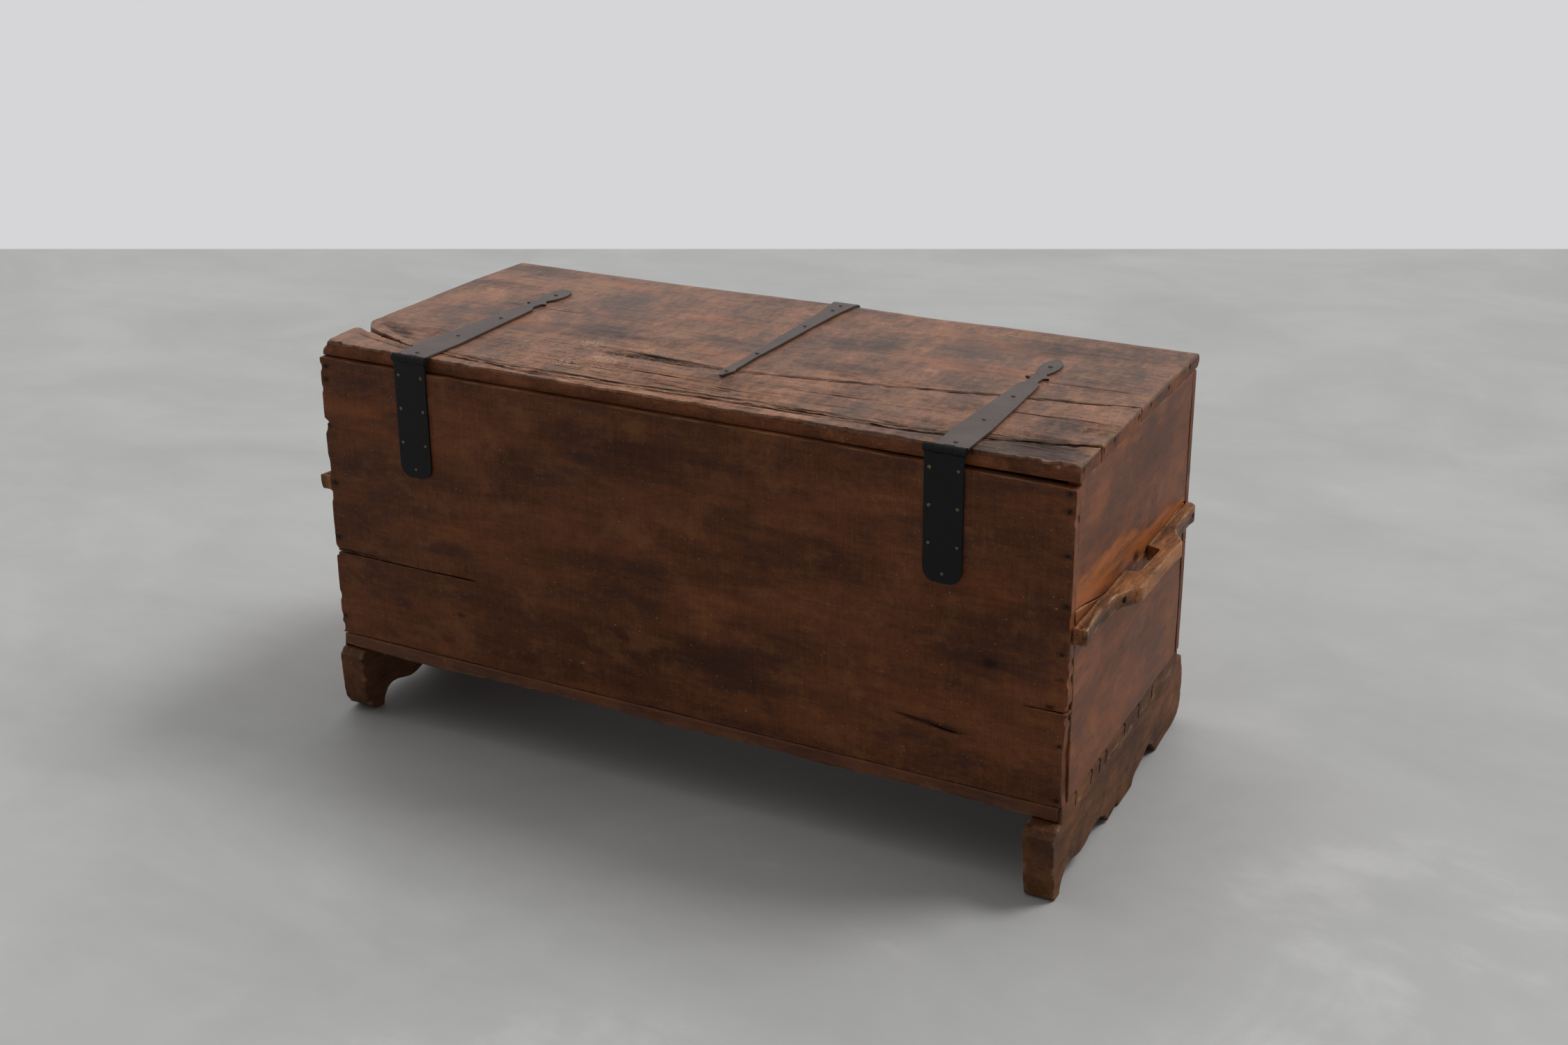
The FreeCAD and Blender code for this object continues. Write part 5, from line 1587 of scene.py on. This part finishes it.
def add_rivets(obj, places, sign):
    """Add the rivet heads on the inner face of an end board to a piece of bolts."""
    rivet = lathe([(0, -3.0), (5.4, -2.8), (5.4, -0.4), (4.6, 0), (0, 0)], 14)
    for place in places:
        extra = rivet.data.copy()
        for v in extra.vertices:
            v.co = Vector((sign * v.co.z, v.co.x, v.co.y)) + Vector(place) * MM
        shell = bmesh.new()
        shell.from_mesh(obj.data)
        shell.from_mesh(extra)
        bmesh.ops.recalc_face_normals(shell, faces=shell.faces)
        shell.to_mesh(obj.data)
        shell.free()
    bpy.data.objects.remove(rivet)


STRAP_THICK = 3.0
SCREW_ROWS, SCREW_SIDE, SCREW_TIP = (31, 85.5, 141), 21, 183         # below the lid's top
HINGE_NAILS = (16, 116, 226, 378)                                   # from the back
HASP_NAILS = (11, 41, 141, 301, 397)                                # back from the nose's bend
BOLT_RIM = 5.5                                                      # a bolt's middle to its node's edge


class CHEST_OT_fixings(ChestOperator):
    """Set the nails, screws and bolts"""
    bl_idname = "chest.fixings"
    bl_label = "Nails and screws"

    def execute(self, context):
        rose = lathe([(0, -2.5), (1.7, -2.5), (1.7, -0.3), (3.8, -0.2), (3.6, 0.5), (2.6, 1.6), (0, 2.1)], 9,
                     seed=3, uneven=0.07)
        flush = lathe([(0, -2.5), (4.2, -2.2), (4.5, -0.3), (4.0, 0.1), (1.5, 0.25), (0, 0.2)], 9, seed=5,
                      uneven=0.22)
        screw = slotted(lathe([(0, -1.6), (3.6, -1.5), (3.8, 0.2), (3.3, 0.75), (1.8, 1.15), (0, 1.25)], 20),
                        4.2, 1.1, 0.35, 3.0)
        bolt = slotted(lathe([(0, -2), (5.2, -2), (5.4, 0.4), (4.7, 1.2), (2.6, 1.9), (0, 2.0)], 18, seed=9,
                             uneven=0.03), 6, 1.8, 0.8, 4.0)
        walls = (("back_nails", BACK_NAILS, BACK, -1), ("front_nails", FRONT_NAILS, FRONT, 1))
        for node, rows, face, out in walls:
            places = [(x, face - out * 0.9, z) for x, z in nail_places(rows)]
            fixings(node, "chest", "nail_iron", nail_iron(), flush, (0, out, 0), places, seed=3,
                    sizes=(0.42, 0.92))
        floor = [(sign * (HALF - 28), BACK + DEPTH * (i + 0.5) / 6, FLOOR_TOP - 0.6)
                 for sign in (-1, 1) for i in range(6)]
        fixings("floor_nails", "chest", "nail_iron", nail_iron(), rose, (0, 0, 1), floor, seed=5)
        for side, sign in (("left", -1), ("right", 1)):
            cx = middle_of(side + "_leaf_screws")
            places = [(cx + dx, BACK - STRAP_THICK, LID_TOP - row)
                      for row in SCREW_ROWS for dx in (-SCREW_SIDE, SCREW_SIDE)]
            places.append((cx, BACK - STRAP_THICK, LID_TOP - SCREW_TIP))
            fixings(side + "_leaf_screws", "chest", "worn_screw", screw_metal(), screw, (0, -1, 0), places,
                    seed=11 + sign, sizes=(0.58, 0.74))
            low, high = edges_mm(side + "_strap_nails")
            first, last = low[0] + 3.6, high[0] - 3.6
            run = HINGE_NAILS[-1] - HINGE_NAILS[0]
            places = [(first + (last - first) * (step - HINGE_NAILS[0]) / run, BACK + step,
                       LID_TOP + STRAP_THICK) for step in HINGE_NAILS]
            fixings(side + "_strap_nails", "lid", "nail_iron", browned_iron_and_sheen(), rose, (0, 0, 1), places,
                    seed=13)
            low, high = edges_mm(side + "_handle_bolts")
            near, far = (low[1] + BOLT_RIM, high[2] - BOLT_RIM), (high[1] - BOLT_RIM, low[2] + BOLT_RIM)
            obj = fixings(side + "_handle_bolts", "chest", "nail_iron", nail_iron(), bolt, (sign, 0, 0),
                          [(sign * (HALF + 25.5), *near), (sign * (HALF + 18.4), *far)], seed=17)
            add_rivets(obj, [(sign * (HALF - END_THICK + 0.2), *place) for place in (near, far)], sign)
        places = [(middle_of("hasp_strap"), NOSE - 19 - step, LID_TOP + STRAP_THICK) for step in HASP_NAILS]
        fixings("hasp_strap_nails", "lid", "nail_iron", browned_iron_and_sheen(), rose, (0, 0, 1), places, seed=19)
        for head in (rose, flush, screw, bolt):
            bpy.data.objects.remove(head)
        return {"FINISHED"}


# Stage --------------------------------------------------------------------------------------
BRIGHT_SIDE = (-0.507, 0.800, 0.319)     # direction of the brighter half of the studio
LAMP_SIDE = (0.552, 0.469, 1.0)          # direction of the skylight
LAMP_WIDTH = 20                          # degrees that the skylight spans
FLOOR_HALF = 3.08                        # half the side of the square floor, in metres
YAW, PITCH = math.radians(26.33), math.radians(18.70)         # of the camera
EYE = (1.3535, -2.4702, 1.5204)
FOCAL_PX, FRAME_PX, CENTRE_PX = 2735.37, (2250.0, 1500.0), (1190.0, 560.0)


class CHEST_OT_stage(ChestOperator):
    """Make the floor, the soft light and the camera"""
    bl_idname = "chest.stage"
    bl_label = "Stage"

    def execute(self, context):
        scene, settings = context.scene, context.scene.chest_stage
        corners = [(x * FLOOR_HALF, y * FLOOR_HALF) for x, y in ((-1, -1), (1, -1), (1, 1), (-1, 1))]
        turned = [(x * math.cos(YAW) - y * math.sin(YAW), x * math.sin(YAW) + y * math.cos(YAW), 0)
                  for x, y in corners]
        mesh = bpy.data.meshes.new("floor")
        mesh.from_pydata(turned, [], [(0, 1, 2, 3)])
        floor = bpy.data.objects.new("floor", mesh)
        scene.collection.objects.link(floor)
        tree = Tree("Pale floor")
        cloud = tree.noise(tree.stretch((1.6, 2.2, 1.0)), detail=5, rough=0.6, warp=0.8)
        base = tuple(settings.floor_colour)
        toward = tree.nodes.new("ShaderNodeVectorMath")
        toward.operation, toward.inputs[1].default_value = "DOT_PRODUCT", (-math.sin(YAW), math.cos(YAW), 0)
        tree.links.new(tree.place, toward.inputs[0])
        scuff = tree.noise(tree.stretch((9, 14, 1.0)), detail=8, rough=0.7, warp=0.4)
        # Painted light: the floor is lifted lighter towards the camera and a little darker far behind, to
        # make up for the front floor getting less light.
        value = tree.math("ADD", cloud, tree.rise(toward.outputs["Value"], -1.9, 0.1, 0.36, -0.06))
        value = tree.math("MULTIPLY_ADD", scuff, 0.3, tree.math("SUBTRACT", value, 0.09))
        colour = tree.ramp(value, [(0.3, shade(base, 0.95)), (0.7, shade(base, 1.12)),
                                   (1.0, shade(base, 1.5))])
        tree.put(tree.shader.inputs["Base Color"], colour)
        tree.shader.inputs["Roughness"].default_value = 0.55
        tree.shader.inputs["Specular IOR Level"].default_value = 0.25
        mesh.materials.append(tree.material)

        world = bpy.data.worlds.new("Studio")
        world.use_nodes = True
        nodes, links = world.node_tree.nodes, world.node_tree.links
        nodes.clear()
        out = nodes.new("ShaderNodeOutputWorld")
        seen, lit = nodes.new("ShaderNodeBackground"), nodes.new("ShaderNodeBackground")
        seen.inputs["Color"].default_value = (1.0, 1.0, 1.02, 1)
        seen.inputs["Strength"].default_value = settings.backdrop
        sky, toward = nodes.new("ShaderNodeTexCoord"), nodes.new("ShaderNodeVectorMath")
        toward.operation, toward.inputs[1].default_value = "DOT_PRODUCT", BRIGHT_SIDE
        span = nodes.new("ShaderNodeMapRange")
        span.interpolation_type = "SMOOTHSTEP"
        for i, value in ((1, -0.35), (2, 0.75), (3, settings.shade_side), (4, settings.bright_side)):
            span.inputs[i].default_value = value
        links.new(sky.outputs["Generated"], toward.inputs[0])
        links.new(toward.outputs["Value"], span.inputs[0])
        links.new(span.outputs[0], lit.inputs["Strength"])
        path, mixed = nodes.new("ShaderNodeLightPath"), nodes.new("ShaderNodeMixShader")
        share = path.outputs["Is Camera Ray"]
        for kind in ("Is Glossy Ray", "Is Transmission Ray"):
            either = nodes.new("ShaderNodeMath")
            either.operation = "MAXIMUM"
            links.new(share, either.inputs[0])
            links.new(path.outputs[kind], either.inputs[1])
            share = either.outputs[0]
        links.new(share, mixed.inputs[0])
        links.new(lit.outputs[0], mixed.inputs[1])
        links.new(seen.outputs[0], mixed.inputs[2])
        links.new(mixed.outputs[0], out.inputs[0])
        scene.world = world

        lamp = bpy.data.lights.new("Skylight", "SUN")
        lamp.energy, lamp.angle = settings.lamp, math.radians(LAMP_WIDTH)
        holder = bpy.data.objects.new("Skylight", lamp)
        holder.rotation_euler = Vector(LAMP_SIDE).to_track_quat("Z", "Y").to_euler()
        scene.collection.objects.link(holder)

        camera = bpy.data.cameras.new("Camera")
        camera.sensor_width = 36.0
        camera.lens = FOCAL_PX / FRAME_PX[0] * camera.sensor_width
        camera.shift_x = (FRAME_PX[0] / 2 - CENTRE_PX[0]) / FRAME_PX[0]
        camera.shift_y = -(FRAME_PX[1] / 2 - CENTRE_PX[1]) / FRAME_PX[0]
        camera.clip_end = 50
        holder = bpy.data.objects.new("Camera", camera)
        holder.location = EYE
        holder.rotation_euler = (math.radians(90) - PITCH, 0, YAW)
        scene.collection.objects.link(holder)
        scene.camera = holder
        scene.view_settings.view_transform = "Standard"
        return {"FINISHED"}


class CHEST_PT_panel(bpy.types.Panel):
    """Lists the makers of the chest"""
    bl_idname = "CHEST_PT_panel"
    bl_label = "Blanket chest"
    bl_space_type, bl_region_type, bl_category = "VIEW_3D", "UI", "Chest"

    def draw(self, context):
        for group in (context.scene.chest_wood, context.scene.chest_iron, context.scene.chest_stage):
            column = self.layout.column()
            for label in group.__annotations__:
                column.prop(group, label)
        for maker in MAKERS:
            self.layout.operator(maker.bl_idname)


SETTINGS = {"chest_wood": CHEST_PG_wood, "chest_iron": CHEST_PG_iron, "chest_stage": CHEST_PG_stage}
MAKERS = (CHEST_OT_walls, CHEST_OT_ends, CHEST_OT_bottom, CHEST_OT_skids, CHEST_OT_handles, CHEST_OT_lid,
          CHEST_OT_ironwork, CHEST_OT_fixings, CHEST_OT_stage)


def register():
    """Register the settings, the makers and the panel."""
    for cls in (*SETTINGS.values(), *MAKERS, CHEST_PT_panel):
        bpy.utils.register_class(cls)
    for label, cls in SETTINGS.items():
        setattr(bpy.types.Scene, label, PointerProperty(type=cls))


def unregister():
    """Take the settings, the makers and the panel away again."""
    for label in SETTINGS:
        delattr(bpy.types.Scene, label)
    for cls in (CHEST_PT_panel, *MAKERS[::-1], *SETTINGS.values()):
        bpy.utils.unregister_class(cls)


def main():
    """Make the whole chest and its stage."""
    register()
    bpy.ops.chest.walls()
    bpy.ops.chest.ends()
    bpy.ops.chest.bottom()
    bpy.ops.chest.skids()
    bpy.ops.chest.handles()
    bpy.ops.chest.lid()
    bpy.ops.chest.ironwork()
    bpy.ops.chest.fixings()
    bpy.ops.chest.stage()


if __name__ == "__main__":
    main()
